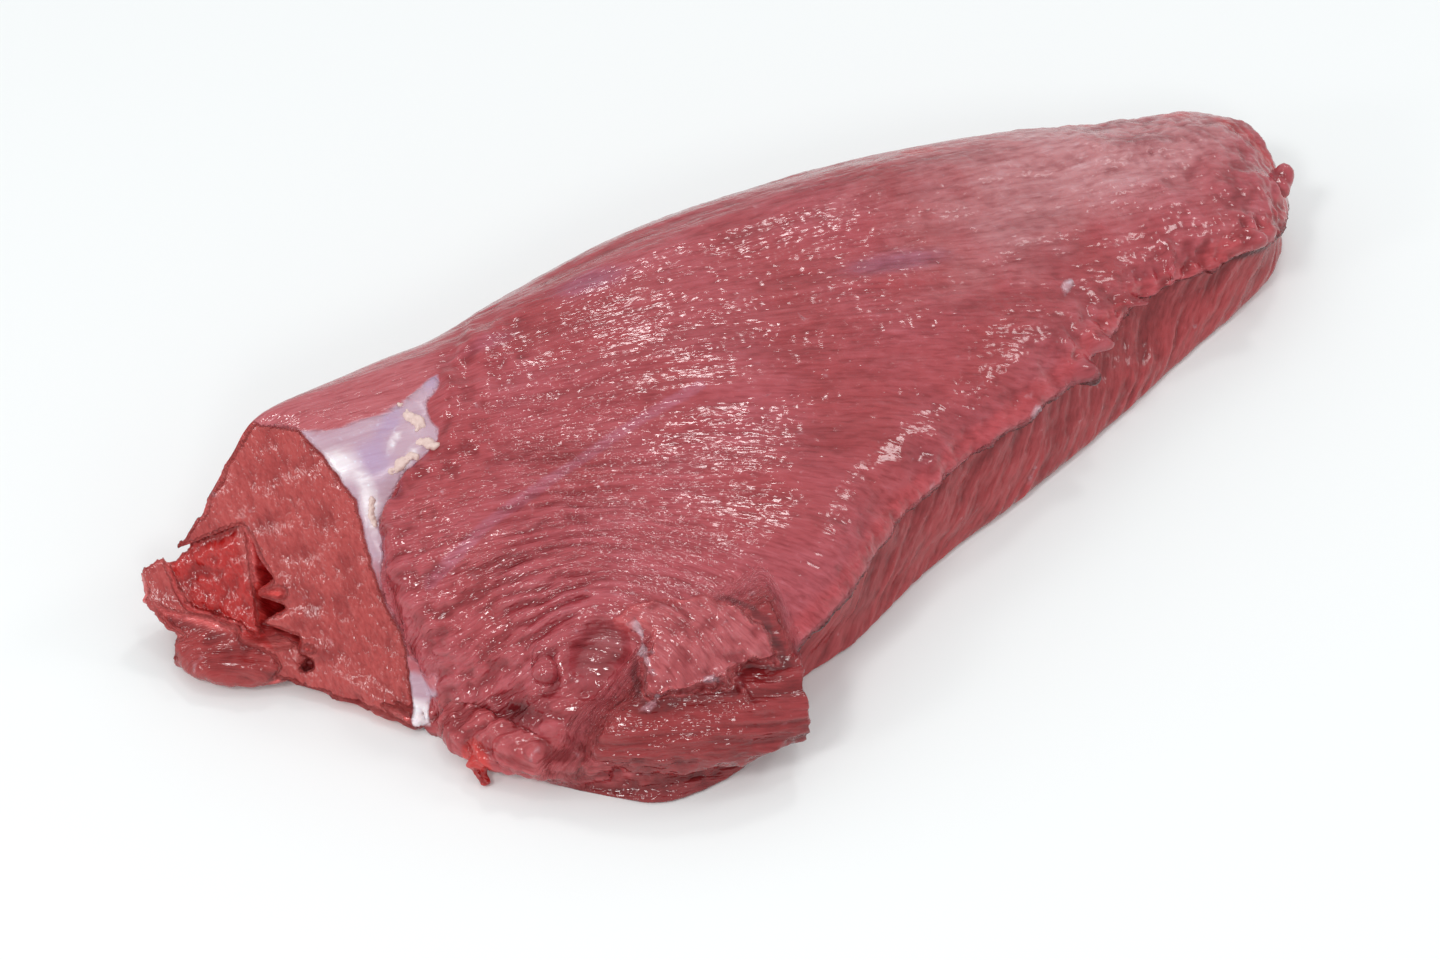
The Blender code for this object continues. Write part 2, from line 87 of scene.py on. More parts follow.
# Up the rim of the cut face: how far over the rim lies, how far over the main muscle starts, and how much
# lower the silverskin between them is there
RIM = [(-16, -2, 0.5, 0), (-1, -0.5, 3.4, 0.2), (4, 1, 4, 0.2), (8.5, 2.6, 4.6, 0.2), (13, 2.9, 4.8, 0.2),
       (18, 2.2, 4.6, 0.2), (24, 2.6, 5.5, 0.5), (28, 3.4, 6.4, 0.8), (30.2, 3.9, 7.6, 1.2),
       (34.6, 4.3, 12.8, 2.8), (36.2, 3.9, 15.8, 4), (38.2, 3.4, 19.6, 6), (42.7, 2.2, 19, 7.8),
       (45.1, 1.3, 18.4, 8.6), (48.3, -0.1, 12, 5.6), (50, -3, 6, 3), (51.3, -5.8, 1, 0.8),
       (52.4, -7.6, -2, 0.5), (60, -22, -21, 0)]
# The way from the edge of that floor up over the main muscle, as how far beyond it and how much higher
FLANK = [(1.5, 2), (4.5, 3.8), (9, 5), (14, 60)]
# The torn pocket in it, as a hinge line and a step line with the depth at each end
POCKET_HINGE = ((-94.6, 33.2, 23.2), (-100.2, 19.7, 4.6))
POCKET_STEP = ((-93.2, 31.5, 22), (-92.6, 13.5, 5))
POCKET_DEPTH = (2.5, 9.5)
# The rough, wetter part of the cut face beside it, in the plane of X and Z, and how far it is sunk
SUNK = [(-93.6, 23.2), (-95, 22.7), (-105.3, 16.6), (-106, 12), (-103, 4), (-101, 0), (-98.5, 0)]
SUNK_DEPTH = 1.0
# The hollow under its lower edge
HOLLOW = ((-116, 32, 7), (-85, -6, 2), (-97, 36, -1), (-75, 5, -1), (-116, 32, -1), (-85, -6, -1))
# The slope under the tip of the thick end
HEEL = ((-110, 20, 11), (-110, 50, 11), (-104, 20, -1), (-104, 50, -1), (-120, 20, 11), (-120, 50, 11),
        (-120, 20, -1), (-120, 50, -1))

# Rolls of muscle and torn shreds, each as points, half widths, half depths and the way its depth lies
UP = (0, 0, 1)
ROLLS = {
    "lobe": (((-106.3, 33, 3.6), (-103, 27, 4.2), (-98, 23.4, 4.3), (-93, 21.4, 4.3), (-89.3, 21.6, 4.3)),
             (5, 6.6, 6.9, 6.4, 4.8), (3.4, 4, 4.2, 4.2, 3.7), UP),
    "ledge": (((-109.6, 39, 10.8), (-107.8, 34, 8.6), (-104.5, 29, 8.3), (-100.9, 24.4, 8.1)),
              (1.6, 2.6, 2.8, 2), (0.9, 1.1, 1.1, 1), CUT_OUT),
    "fringe": (((-92.5, 15, 6.4), (-90, 8.5, 5), (-87, 1.8, 3.4), (-84.2, -3.6, 2.2)),
               (1.2, 1.6, 1.6, 1.4), (1, 1.1, 1.2, 1.2), CUT_OUT),
    "strap": (((-75, -6, 6), (-66, -19, 8.5), (-56, -29, 9.8), (-45, -35, 10.3), (-34.8, -39.8, 10.3)),
              (5, 8.5, 10.5, 10.5, 7.8), (4, 7.5, 8, 8, 7.2), UP),
    "foot": (((-79.5, -6.5, 4.2), (-79.6, -11, 4.5), (-76.8, -17.2, 4.8), (-70.9, -24.3, 5), (-64, -29, 5)),
             (3.3, 4, 4.4, 4.8, 5), (3.5, 4.3, 4.7, 4.8, 4.8), UP),
    "flap_high": (((-90, 21, 15.8), (-93.2, 23, 15.4), (-96.2, 25.4, 14.8)),
                  (3.2, 2.2, 0.5), (1.1, 1, 0.6), CUT_OUT),
    "flap_low": (((-90, 16.5, 12), (-93.4, 19.6, 11.8), (-97, 22.6, 11.2)),
                 (3.4, 2.4, 0.5), (1.1, 1, 0.6), CUT_OUT),
    "nub": (((-90, 13, 8), (-92.6, 15.2, 8.4), (-94.3, 16.6, 8.6)), (2.4, 2, 1.2), (1.6, 1.5, 1), CUT_OUT),
    "droplet": (((-67.5, -15.5, 20), (-68.6, -17.2, 19.2), (-69.8, -19, 17.6)),
                (0.8, 1.0, 1.3), (0.8, 1, 1.1), UP),
    "hook": (((-44.5, -35, 17.5), (-45.8, -39, 17.8), (-45.6, -41.6, 16.2), (-44.2, -42.8, 15)),
             (1.2, 0.9, 0.9, 0.8), (1.2, 0.9, 0.9, 0.8), UP),
    "floor_shred": (((-77.5, -13.5, 6), (-80.4, -15.6, 4.8), (-82, -17.6, 2.8), (-82.2, -20, 1.1)),
                    (3, 2, 1.3, 0.8), (2, 1.5, 1.1, 0.8), UP),
    "lip_ribbon": (((73, 2.5, 21.8), (71.5, -1.8, 21.4), (70, -4.8, 18.6)),
                   (1.4, 1.3, 0.7), (1.1, 1, 0.7), UP),
    "lip_tip_1": (((83, 0, 18), (87.5, -2.6, 17.8), (91, -4.4, 17)), (2.8, 2, 0.6), (1.4, 1.2, 0.6), UP),
    "lip_tip_2": (((55.5, -1.5, 20.5), (60, -4.8, 19.9), (63, -6.8, 18.9)),
                  (3.2, 2.2, 0.7), (1.6, 1.4, 0.7), UP),
    "lip_tip_3": (((44.5, -6.5, 20.5), (48.5, -9.6, 20), (51, -11.4, 19)),
                  (2.8, 1.9, 0.7), (1.5, 1.3, 0.7), UP),
    "lip_tip_4": (((39.5, -9.5, 20), (42.6, -13.2, 19.2), (44.6, -15.4, 17.6)),
                  (2.8, 1.9, 0.8), (1.5, 1.3, 0.8), UP),
    "end_tip": (((102, 9.2, 11.5), (106.2, 9.6, 13.2), (108.6, 9.8, 15)), (3, 2, 0.8), (2.4, 1.6, 0.8), UP),
}

# The rolls that are bright red scraps
SHREDS = ("flap_high", "flap_low", "nub", "floor_shred")
# The odd numbers that turn a cell's place and a seed into a random value
HASH = (73856093, 19349663, 83492791, 40503, 1274126177, 668265263)

# Where the fibres fan out from, and the radius at which their angles are measured
FAN_CENTRE = (-139.0, 50.0)
FAN_RADIUS = 140.0
# The main muscle's outline seen from above, its edge over the silverskin first, and how high that edge is
MUSCLE = [(-80.4, -6.5), (-80.6, -2.5), (-81.5, 4), (-81.0, 10), (-79.2, 14), (-76.8, 17.4), (-71.5, 18.8),
          (-64.3, 20.2), (-62.0, 26), (-55, 31), (-50, 36), (-40, 50), (300, 50), (300, -200), (-82.8, -200)]
EDGE_RISE = 1.0
# The dent in the thick end, and how far the fibres bend round it and within what distance
DENT = (-60.5, -22.0)
DENT_RADIUS = 4.3
DENT_DEPTH = 2.8
BEND, BEND_RADIUS = 13.0, 19.0
# The ripples round the dent and the pit beside it, and the fold that counts as a full one
WAVE_LENGTH, WAVE_HEIGHT = 3.8, 0.40
PIT_DEPTH = 1.3
FULL_FOLD = 0.35
# The torn sheet beside the dent
SHEET = [(-57.0, -20.5), (-54.5, -25.5), (-58.0, -29.0), (-58.8, -32.5), (-52.5, -34.3), (-47.5, -37.8),
         (-42.0, -35.5), (-37.8, -37.2), (-37.2, -33.0), (-43.0, -25.0), (-51.0, -20.5)]
SHEET_RISE = 1.4

# The camera of the photograph, in degrees and millimetres
CAMERA_TURN, CAMERA_RISE, CAMERA_FAR, CAMERA_LENS = -35.0, 45.0, 660.0, 100.0
CAMERA_TARGET = (-22.6, 0.4, 19.0)
FLOOR_COLOUR = (0.87, 0.885, 0.88, 1.0)
WORLD_COLOUR = (0.96, 0.985, 1.0, 1.0)
WORLD_STRENGTH = 0.74
# The soft boxes round the origin, which they face, each as place and sides in metres and power in watts
LIGHTS = [
    ("box_back", (0.46, 0.33, 0.95), (0.14, 0.12), 0.95),
    ("box_top", (0.10, -0.05, 1.15), (0.14, 0.10), 0.55),
    ("box_left", (-0.68, -0.22, 0.83), (0.20, 0.16), 2.4),
    ("box_side", (-1.00, 0.00, 0.46), (0.18, 0.15), 1.1),
    ("box_front", (-0.45, -0.75, 0.66), (0.18, 0.15), 1.3),
    ("box_right", (0.77, -0.22, 0.73), (0.20, 0.16), 0.9),
]
# The crumbs of fat on the silverskin, each as points, half widths and half depths
FAT = [
    (((-65.4, 26.6, 38.3), (-65.9, 25.2, 37.8), (-65.2, 23.9, 37.2), (-66.6, 22.8, 36.6)),
     (0.6, 1.1, 0.9, 0.5), (0.4, 0.7, 0.6, 0.4)),
    (((-67.4, 21.8, 35.8), (-66.2, 20.6, 35.8), (-65.2, 19.7, 35.7), (-64.0, 19.3, 35.7)),
     (0.6, 0.9, 1.0, 0.5), (0.4, 0.6, 0.7, 0.4)),
    (((-73.0, 20.3, 33.0), (-71.4, 20.5, 34.0), (-69.8, 20.5, 34.7), (-68.4, 19.5, 34.7)),
     (0.5, 0.9, 0.8, 0.5), (0.3, 0.6, 0.5, 0.4)),
    (((-77.0, 19.9, 30.4), (-77.9, 18.7, 28.6), (-78.7, 17.2, 26.8)), (0.4, 0.6, 0.4), (0.3, 0.4, 0.3)),
    (((-66.3, 28.2, 38.7), (-65.9, 27.6, 38.6)), (0.5, 0.4), (0.4, 0.3)),
    (((-62.6, 20.6, 36.6), (-61.8, 20.4, 36.8)), (0.5, 0.4), (0.4, 0.3)),
]
FAT_VOXEL = 0.22
FAT_COLOUR = (218, 190, 182)
# The films that lie on the muscle: their masks, how high they stand over it and how thick they are
FILMS = [("silverskin_band", "silver", 0.10), ("torn_film", "milky", 0.12)]
FILM_THICKNESS = 0.15
# How strong a film's mask is at its edge, how much stronger where it is full, and how deep its edge is sunk
FILM_EDGE, FILM_SLOPE, FILM_SINK = 0.35, 0.4, 0.02
# The silverskin's outline seen from above
SILVER = [(-83, 34), (-78, 30.6), (-70, 28.6), (-61, 28.8), (-57.5, 29.2), (-53, 33), (-50, 28), (-56, 20),
          (-70, 8), (-74, -8), (-92, -8), (-92, 30)]
# Where it is whiter, partly its own colour and partly painted light on its lower side, and where it is
# violet, each as centre, half length and half width, and turn in degrees
WHITE = [((-79, 26.5), (4, 2.4), -50), ((-77.5, 20), (4, 1.6), 70), ((-70, 24), (3, 1), 30),
         ((-69, 20.8), (3, 1), 20)]
VIOLET = [((-74.5, 23.5), (4.5, 3), -40), ((-58, 30), (5, 3), 30), ((-69, 26.5), (3.5, 2), 20)]
# Patches of colour, each as centre, half length and half width, and turn in degrees
PURPLE = [((-26, 33), (9, 3.5), -4), ((23, 14), (12, 3), -14), ((-48, 30), (6, 2), -5)]
RAW = [((44, 35), (5, 2), -10), ((79, 33), (7, 2.5), -15), ((96, 27), (4, 3), -30),
       ((104, 21), (4, 2.5), -60), ((107, 14), (4, 2), -80)]
MILKY = [((49.4, -0.6), (2.4, 1.2), 30), ((27.4, -18), (3.5, 0.5), 20), ((52, -13), (4, 0.4), 20),
         ((-59.2, -32.6), (1.8, 0.9), 0), ((-49.3, -35.0), (2.2, 0.8), -30), ((-56.0, -26.5), (3.6, 0.7), 72)]
# The pit beside the droplet: it is sunk, and painted dark as the shade in it
PIT = [((-73.8, -17.8), (3.4, 1.5), -60)]
# A pale stripe along the thick end, seen from above
STRIPE = [(-75.8, 4.3), (-70.4, 3.6), (-63.9, 3.8), (-57.3, 3.6), (-49.2, 4.2), (-40.8, 5.2), (-32.6, 5.9),
          (-22.6, 6.1)]
# The colours of the regions, in sRGB
COLOURS = {
    "muscle": (161, 62, 67),
    "muscle_pale": (171, 76, 84),
    # film: partly the grey dry film, partly a painted sheen, kept to faces turned up and strongest toward the
    # back
    "film": (190, 130, 133),
    "pink": (184, 96, 102),
    "silver": (190, 156, 170),
    # white: partly the silverskin's own whiter film, partly painted light that makes its lower parts whiter
    "white_and_lit": (238, 224, 228),
    "violet": (164, 138, 180),
    "veil": (186, 96, 104),
    # The cut face's edge: partly its own pale rim, partly painted light that hides the shading of the sharp
    # edge
    "pale_and_lit_verge": (214, 92, 90),
    # under: painted shadow, the shade of the torn lip on the strip right below it
    "under": (84, 24, 28),
    "shred": (192, 52, 48),
    "foot": (180, 74, 78),
    "bank": (166, 64, 70),
    "front": (130, 42, 44),
    "strap": (138, 38, 40),
    "strip": (162, 54, 57),
    "lip": (186, 60, 64),
    "cut": (168, 64, 62),
    "wet": (168, 32, 30),
    # deep: the wet crevice's deep red, partly its own colour, partly painted shade in the recess
    "deep": (144, 8, 7),
    "lobe": (146, 42, 42),
    "dent": (144, 66, 70),
    "sheet": (178, 86, 90),
    "hem": (205, 92, 94),
    "purple": (152, 84, 106),
    "raw": (190, 56, 58),
    "milky": (208, 166, 174),
    "stripe": (178, 112, 134),
    # The shade under the torn sheet's hem: painted shadow on the muscle just outside its edge
    "sheet_shadow": (104, 34, 38),
    # The pit beside the droplet: painted shade in the hollow
    "shaded_pit": (92, 24, 28),
}
# What the darker and the paler streaks, and the painted shade and light of the folds, multiply the colour by
DARK_TINT = (0.66, 0.42, 0.45, 1.0)
PALE_TINT = (1.25, 1.75, 1.75, 1.0)
# The regions painted over the muscle, in order, and how strongly
PAINT = {
    "film": 0.8, "pink": 0.8, "purple": 0.7, "bank": 0.5, "strap": 0.9, "front": 0.7, "foot": 0.6,
    "strip": 0.95, "under": 1.0, "lip": 0.45, "pale_and_lit_verge": 0.9, "sheet": 0.7, "dent": 0.7, "stripe": 0.35,
    "sheet_shadow": 0.7, "shaded_pit": 0.8, "hem": 0.5, "raw": 0.7, "silver": 1.0, "violet": 0.5, "white_and_lit": 0.95,
    "veil": 1.0, "cut": 1.0, "wet": 0.95, "deep": 0.9, "shred": 0.85, "lobe": 0.95, "milky": 0.9,
}
# The noises of the colour and the gloss: the coordinates, the cells in millimetres, the detail and the seed
NOISES = {
    "broad": ("place", (22, 22, 22), 3, 0),
    "bundle": ("grain", (3.5, 45, 8), 3, 2),
    "fibre": ("grain", (0.9, 16, 2.5), 3, 0),
    "thread": ("grain", (0.35, 6, 1.2), 2, 5),
    "speck": ("place", (0.8, 0.8, 0.8), 3, 9),
    "patchy": ("place", (6, 6, 6), 4, 3),
    "crumb": ("grain", (0.45, 1.0, 0.8), 2, 7),
    "ripple": ("grain", (0.6, 3.0, 1.4), 0, 11),
    "pebble": ("place", (1.1, 1.1, 1.1), 0, 13),
    "uneven": ("grain", (5, 14, 8), 2, 17),
    "dust": ("grain", (0.4, 1.2, 0.8), 0, 19),
}
# The streaks and the painted shade and light of the folds, in order: the noise, its values where they begin
# and where they are full, how strong they are, where they lie and their tint
STREAKS_AND_FOLD_SHADING = [
    ("bundle", 0.48, 0.32, 0.35, "all", DARK_TINT),
    ("fibre", 0.50, 0.74, 0.40, "muscle", PALE_TINT),
    ("thread", 0.50, 0.30, 0.50, "muscle", DARK_TINT),
    ("ripple", 0.45, 0.25, 0.50, "muscle", DARK_TINT),
    ("ripple", 0.58, 0.80, 0.35, "muscle", PALE_TINT),
    ("crumb", 0.48, 0.30, 0.55, "cut", DARK_TINT),
    ("crumb", 0.52, 0.72, 0.55, "cut", PALE_TINT),
    # The folds: painted shade that darkens the valleys of the fine relief, and painted light that pales its
    # ridges
    ("fold", 0.05, -0.80, 1.00, "calm", DARK_TINT),
    ("fold", 0.10, 1.00, 0.35, "all", PALE_TINT),
    ("speck", 0.62, 0.75, 0.35, "all", PALE_TINT),
]


def curve(points):
    """A smooth function of x through the given (x, value) points."""
    xs, values = np.array(points, float).T
    slopes = np.gradient(values, xs)

    def at(x):
        k = int(np.clip(np.searchsorted(xs, x) - 1, 0, len(xs) - 2))
        span = xs[k + 1] - xs[k]
        t = min(max((x - xs[k]) / span, 0.0), 1.0)
        start, end = values[k], values[k + 1]
        return (
            (2 * t**3 - 3 * t**2 + 1) * start
            + (t**3 - 2 * t**2 + t) * span * slopes[k]
            + (3 * t**2 - 2 * t**3) * end
            + (t**3 - t**2) * span * slopes[k + 1]
        )

    return at


def smooth_loop(controls, steps=SECTION_STEPS):
    """Points along a closed Catmull-Rom curve, the same number between each two controls."""
    p = np.array(controls, float)
    t = np.linspace(0, 1, steps, endpoint=False)[:, None]
    pieces = []
    for k in range(len(p)):
        a, b, c, d = (p[(k + i) % len(p)] for i in (-1, 0, 1, 2))
        pieces.append(b + 0.5 * t * (c - a + t * (2 * a - 5 * b + 4 * c - d + t * (3 * (b - c) + d - a))))
    return np.vstack(pieces)


def body_rings():
    """The muscle's cross-sections, one every STATION_STEP along X."""
    names = (SHOULDER_Y, SHOULDER_Z, LIP_Y, LIP_Z, BELLY_Y, GROOVE, BACK_BULGE, CREST_RISE, TOP_FULLNESS)
    shoulder_y, shoulder_z, lip_y, lip_z, belly_y, groove, swell, crest, fullness = map(curve, names)
    rings = []
    for x in np.linspace(LEFT_END, RIGHT_END, round((RIGHT_END - LEFT_END) / STATION_STEP) + 1):
        back, high, lip, low, belly = (f(x) for f in (shoulder_y, shoulder_z, lip_y, lip_z, belly_y))
        width = back - lip
        crest_y = back - min(CREST_INSET, 0.35 * width)
        crest_z = high + crest(x) * min(1.0, width / 40)
        bulge = swell(x) * min(1.0, width / 40)
        top = [
            (lip + share * (crest_y - lip), low + (crest_z - low) * share ** fullness(x))
            for share in (0.75, 0.5, 0.25, 0.08)
        ]
        under = low - LIP_THICKNESS * min(1.0, low / 12)
        section = [
            (back + 0.4 * bulge, 0.0),
            (back + bulge, 0.38 * high),
            (back + 0.45 * bulge, 0.78 * high),
            (back - 3.0, high + SHOULDER_RISE),
            (crest_y, crest_z),
            *top,
            (lip - 1.5, low - 1.8),
            (lip + groove(x), under),
            (0.5 * (lip + groove(x) + belly), 0.62 * under),
            (belly, 0.3 * under),
            (belly + 2.0, 0.0),
            (0.5 * (belly + back), 0.0),
        ]
        loop = smooth_loop(section)
        loop[:, 1] = np.maximum(loop[:, 1], 0.0)
        rings.append(np.column_stack([np.full(len(loop), x), loop]))
    return rings


def loft(name, rings):
    """A closed mesh through rings of the same number of points, with a fan over each end."""
    mesh = bmesh.new()
    rows = [[mesh.verts.new(Vector(point) * MM) for point in ring] for ring in rings]
    for row, after in zip(rows, rows[1:]):
        for k in range(len(row)):
            nxt = (k + 1) % len(row)
            mesh.faces.new((row[k], row[nxt], after[nxt], after[k]))
    for row in (rows[0], rows[-1]):
        hub = mesh.verts.new(sum((v.co for v in row), Vector()) / len(row))
        for k in range(len(row)):
            mesh.faces.new((row[k], hub, row[(k + 1) % len(row)]))
    bmesh.ops.recalc_face_normals(mesh, faces=mesh.faces)
    data = bpy.data.meshes.new(name)
    mesh.to_mesh(data)
    mesh.free()
    made = bpy.data.objects.new(name, data)
    bpy.context.scene.collection.objects.link(made)
    return made


def hull(name, corners):
    """A convex solid over the given corners."""
    mesh = bmesh.new()
    for corner in corners:
        mesh.verts.new(Vector(corner) * MM)
    bmesh.ops.convex_hull(mesh, input=mesh.verts)
    bmesh.ops.recalc_face_normals(mesh, faces=mesh.faces)
    data = bpy.data.meshes.new(name)
    mesh.to_mesh(data)
    mesh.free()
    made = bpy.data.objects.new(name, data)
    bpy.context.scene.collection.objects.link(made)
    return made


def roll(name, path, widths, depths, up, steps=5, sides=14):
    """A closed roll along a smoothed path, its half widths across the path and its half depths along up."""
    p = np.array(path, float)
    ends = np.vstack([2 * p[0] - p[1], p, 2 * p[-1] - p[-2]])
    spots = np.linspace(0, len(p) - 1, steps * (len(p) - 1) + 1)
    turns = np.linspace(0, 2 * np.pi, sides, endpoint=False)
    centres = []
    for spot in spots:
        k = min(int(spot), len(p) - 2)
        t = spot - k
        a, b, c, d = ends[k : k + 4]
        centres.append(b + 0.5 * t * (c - a + t * (2 * a - 5 * b + 4 * c - d + t * (3 * (b - c) + d - a))))
    centres = np.array(centres)
    heading = np.gradient(centres, axis=0)
    rings = []
    for spot, centre, ahead in zip(spots, centres, heading):
        side = np.cross(ahead, up)
        side /= np.linalg.norm(side)
        rise = np.cross(side, ahead)
        rise /= np.linalg.norm(rise)
        width = np.interp(spot, range(len(p)), widths)
        depth = np.interp(spot, range(len(p)), depths)
        rings.append(centre + width * np.outer(np.cos(turns), side) + depth * np.outer(np.sin(turns), rise))
    return loft(name, rings)


def settle(made):
    """Replaces a mesh by what its modifiers make of it."""
    graph = bpy.context.evaluated_depsgraph_get()
    data = bpy.data.meshes.new_from_object(made.evaluated_get(graph))
    made.modifiers.clear()
    made.data = data


def cut(made, cutter):
    """Takes the cutter out of the solid."""
    step = made.modifiers.new("cut", "BOOLEAN")
    step.operation = "DIFFERENCE"
    step.solver = "EXACT"
    step.object = cutter
    settle(made)
    bpy.data.objects.remove(cutter)


def knife():
    """The block that the knife took off the thick end, its floor sinking past the rim to the silverskin."""
    rings = []
    for up, rim, edge, drop in RIM:
        outline = [(-75, 0), (rim, 0), (0.5 * (rim + edge), -0.4 * drop), (edge, -drop)]
        outline += [(edge + beyond, higher - drop) for beyond, higher in FLANK] + [(-75, 60)]
        rings.append([CUT_CORNER + side * CUT_SIDE + up * CUT_UP + out * CUT_OUT for side, out in outline])
    return loft("knife", rings)


def pocket():
    """The wedge torn out of the cut face, its floor falling from the hinge to the foot of the step."""
    corners = []
    for near, step, depth in zip(POCKET_HINGE, POCKET_STEP, POCKET_DEPTH):
        corners += [Vector(near) - SUNK_DEPTH * CUT_OUT, Vector(near) + 25 * CUT_OUT]
        corners += [Vector(step) - depth * CUT_OUT, Vector(step) + 25 * CUT_OUT]
    return hull("pocket", corners)


def bared():
    """The shallow block torn off the cut face beside the pocket."""
    corners = []
    for x, z in SUNK:
        y = CUT_CORNER.y - (CUT_OUT.x * (x - CUT_CORNER.x) + CUT_OUT.z * (z - CUT_CORNER.z)) / CUT_OUT.y
        corners += [Vector((x, y, z)) - SUNK_DEPTH * CUT_OUT, Vector((x, y, z)) + 20 * CUT_OUT]
    return hull("bared", corners)


def join(made, others):
    """Puts the other meshes into this one."""
    mesh = bmesh.new()
    for piece in (made, *others):
        mesh.from_mesh(piece.data)
    mesh.to_mesh(made.data)
    mesh.free()
    for piece in others:
        bpy.data.objects.remove(piece)


def skin(made, voxel):
    """One closed surface over everything in the mesh."""
    step = made.modifiers.new("skin", "REMESH")
    step.mode = "VOXEL"
    step.voxel_size = voxel * MM
    smooth = made.modifiers.new("smooth", "SMOOTH")
    smooth.factor = 0.5
    smooth.iterations = 3
    settle(made)


def whole(made):
    """Drops the crumbs that the cuts leave beside the body."""
    mesh = bmesh.new()
    mesh.from_mesh(made.data)
    loose = set(mesh.verts)
    groups = []
    while loose:
        reached = [loose.pop()]
        for vertex in reached:
            near = {edge.other_vert(vertex) for edge in vertex.link_edges} & loose
            loose -= near
            reached.extend(near)
        groups.append(reached)
    body = max(groups, key=len)
    crumbs = [vertex for group in groups if group is not body for vertex in group]
    bmesh.ops.delete(mesh, geom=crumbs, context="VERTS")
    mesh.to_mesh(made.data)
    mesh.free()


def noise(points, seed):
    """Smooth seeded noise from -1 to 1, with a cell one unit wide."""
    base = np.floor(points).astype(np.int64)
    part = points - base
    part = part * part * part * (part * (part * 6 - 15) + 10)
    total = np.zeros(len(points))
    for corner in range(8):
        bits = np.array([corner & 1, corner >> 1 & 1, corner >> 2])
        cell = base + bits
        key = cell[:, 0] * HASH[0] ^ cell[:, 1] * HASH[1] ^ cell[:, 2] * HASH[2] ^ seed * HASH[3]
        key = (key ^ key >> 13) * HASH[4] & 0x7FFFFFFF
        key = (key ^ key >> 15) * HASH[5] & 0x7FFFFFFF
        value = (key >> 8 & 0xFFFF) / 32767.5 - 1
        total += value * np.prod(np.where(bits == 1, part, 1 - part), axis=1)
    return total


def layered(layers):
    """A sum of noises, each given as its height, coordinates, cells, seed and where it lies."""
    total = 0
    for height, place, cells, seed, where in layers:
        total = total + height * noise(place / np.array(cells), seed) * where
    return total


def ease(value):
    """0 below 0, 1 above 1, and smooth between."""
    value = np.clip(value, 0, 1)
    return value * value * (3 - 2 * value)


def inside(points, outline):
    """How deep each (x, y) point lies inside an outline, less than 0 outside it."""
    corners = np.array(outline, float)
    near = np.full(len(points), 1e9)
    odd = np.zeros(len(points), bool)
    for start, end in zip(corners, np.roll(corners, -1, axis=0)):
        way = end - start
        share = np.clip((points - start) @ way / (way @ way), 0, 1)
        near = np.minimum(near, np.hypot(*(points - start - np.outer(share, way)).T))
        span = (points[:, 1] < start[1]) != (points[:, 1] < end[1])
        rise = way[1] if way[1] else 1e-9
        odd ^= span & (points[:, 0] < start[0] + (points[:, 1] - start[1]) / rise * way[0])
    return np.where(odd, near, -near)


def near_path(points, path):
    """The distance from each point to a path of straight runs."""
    near = np.full(len(points), 1e9)
    corners = np.array(path, float)
    for start, end in zip(corners, corners[1:]):
        way = end - start
        share = np.clip((points - start) @ way / (way @ way), 0, 1)
        near = np.minimum(near, np.linalg.norm(points - start - share[:, None] * way, axis=1))
    return near


def spot(points, centre, size, turn):
    """1 in the middle of a long soft patch seen from above, falling to 0 at its edge."""
    x = points[:, 0] - centre[0]
    y = points[:, 1] - centre[1]
    c, s = math.cos(math.radians(turn)), math.sin(math.radians(turn))
    return np.exp(-(((x * c + y * s) / size[0]) ** 2) - ((y * c - x * s) / size[1]) ** 2)


def patches(points, spots):
    """All the given patches together, at most 1."""
    return np.clip(sum(spot(points, *sizes) for sizes in spots), 0, 1)


def cut_regions(points, normals, out, over):
    """Where the cut face, its edge, the bared nook, the pocket and the shreds and lobe beside them lie."""
    x, y, z = points.T
    cut_side = ease((-70 - x) / 4)
    facing = normals @ CUT_OUT
    cut = ease(6 - 5 * np.abs(out)) * ease(facing * 5 - 3) * cut_side * ease(0.5 - over / 0.8)
    # The cut face's edge, painted pale: partly its own pale rim, partly painted light against the edge's dark
    # shading
    pale_and_lit_verge = ease((3.2 - np.abs(out)) / 1.2) * cut_side * ease(0.3 - over / 0.8) * ease((z - 0.5) / 1.5)

    sunk = inside(points[:, ::2], SUNK) + 0.7 * noise(points / 4, 15)
    level = ease((1.2 - out) / 0.8) * ease((out + 2.4) / 1.2)
    wet = ease(sunk / 1.2) * ease((facing - 0.25) / 0.25) * cut_side * level * ease((z - 2.5) / 2)

    # The crevice at the foot of the pocket's step: its very dark red is partly painted shade of the recess
    crevice = ease((-out - 0.8) / 1.5) * ease((13 + out) / 2) * ease((-89 - x) / 2) * ease((27 - z) / 2)
    deep = crevice * (1 - cut) * ease((36 - y) / 3) * ease((y - 10) / 2) * ease((z - 4) / 3)

    shred = np.min([near_path(points, ROLLS[name][0]) for name in SHREDS], axis=0)
    shred = ease((3.6 - shred) / 1.2) * (1 - cut)
    lobe = ease((8.6 - near_path(points, ROLLS["lobe"][0])) / 1.5)
    lobe = lobe * (1 - cut) * (1 - wet) * ease((10.5 - z) / 2)
    return {"cut": cut, "pale_and_lit_verge": pale_and_lit_verge, "wet": wet, "deep": deep, "shred": shred, "lobe": lobe}


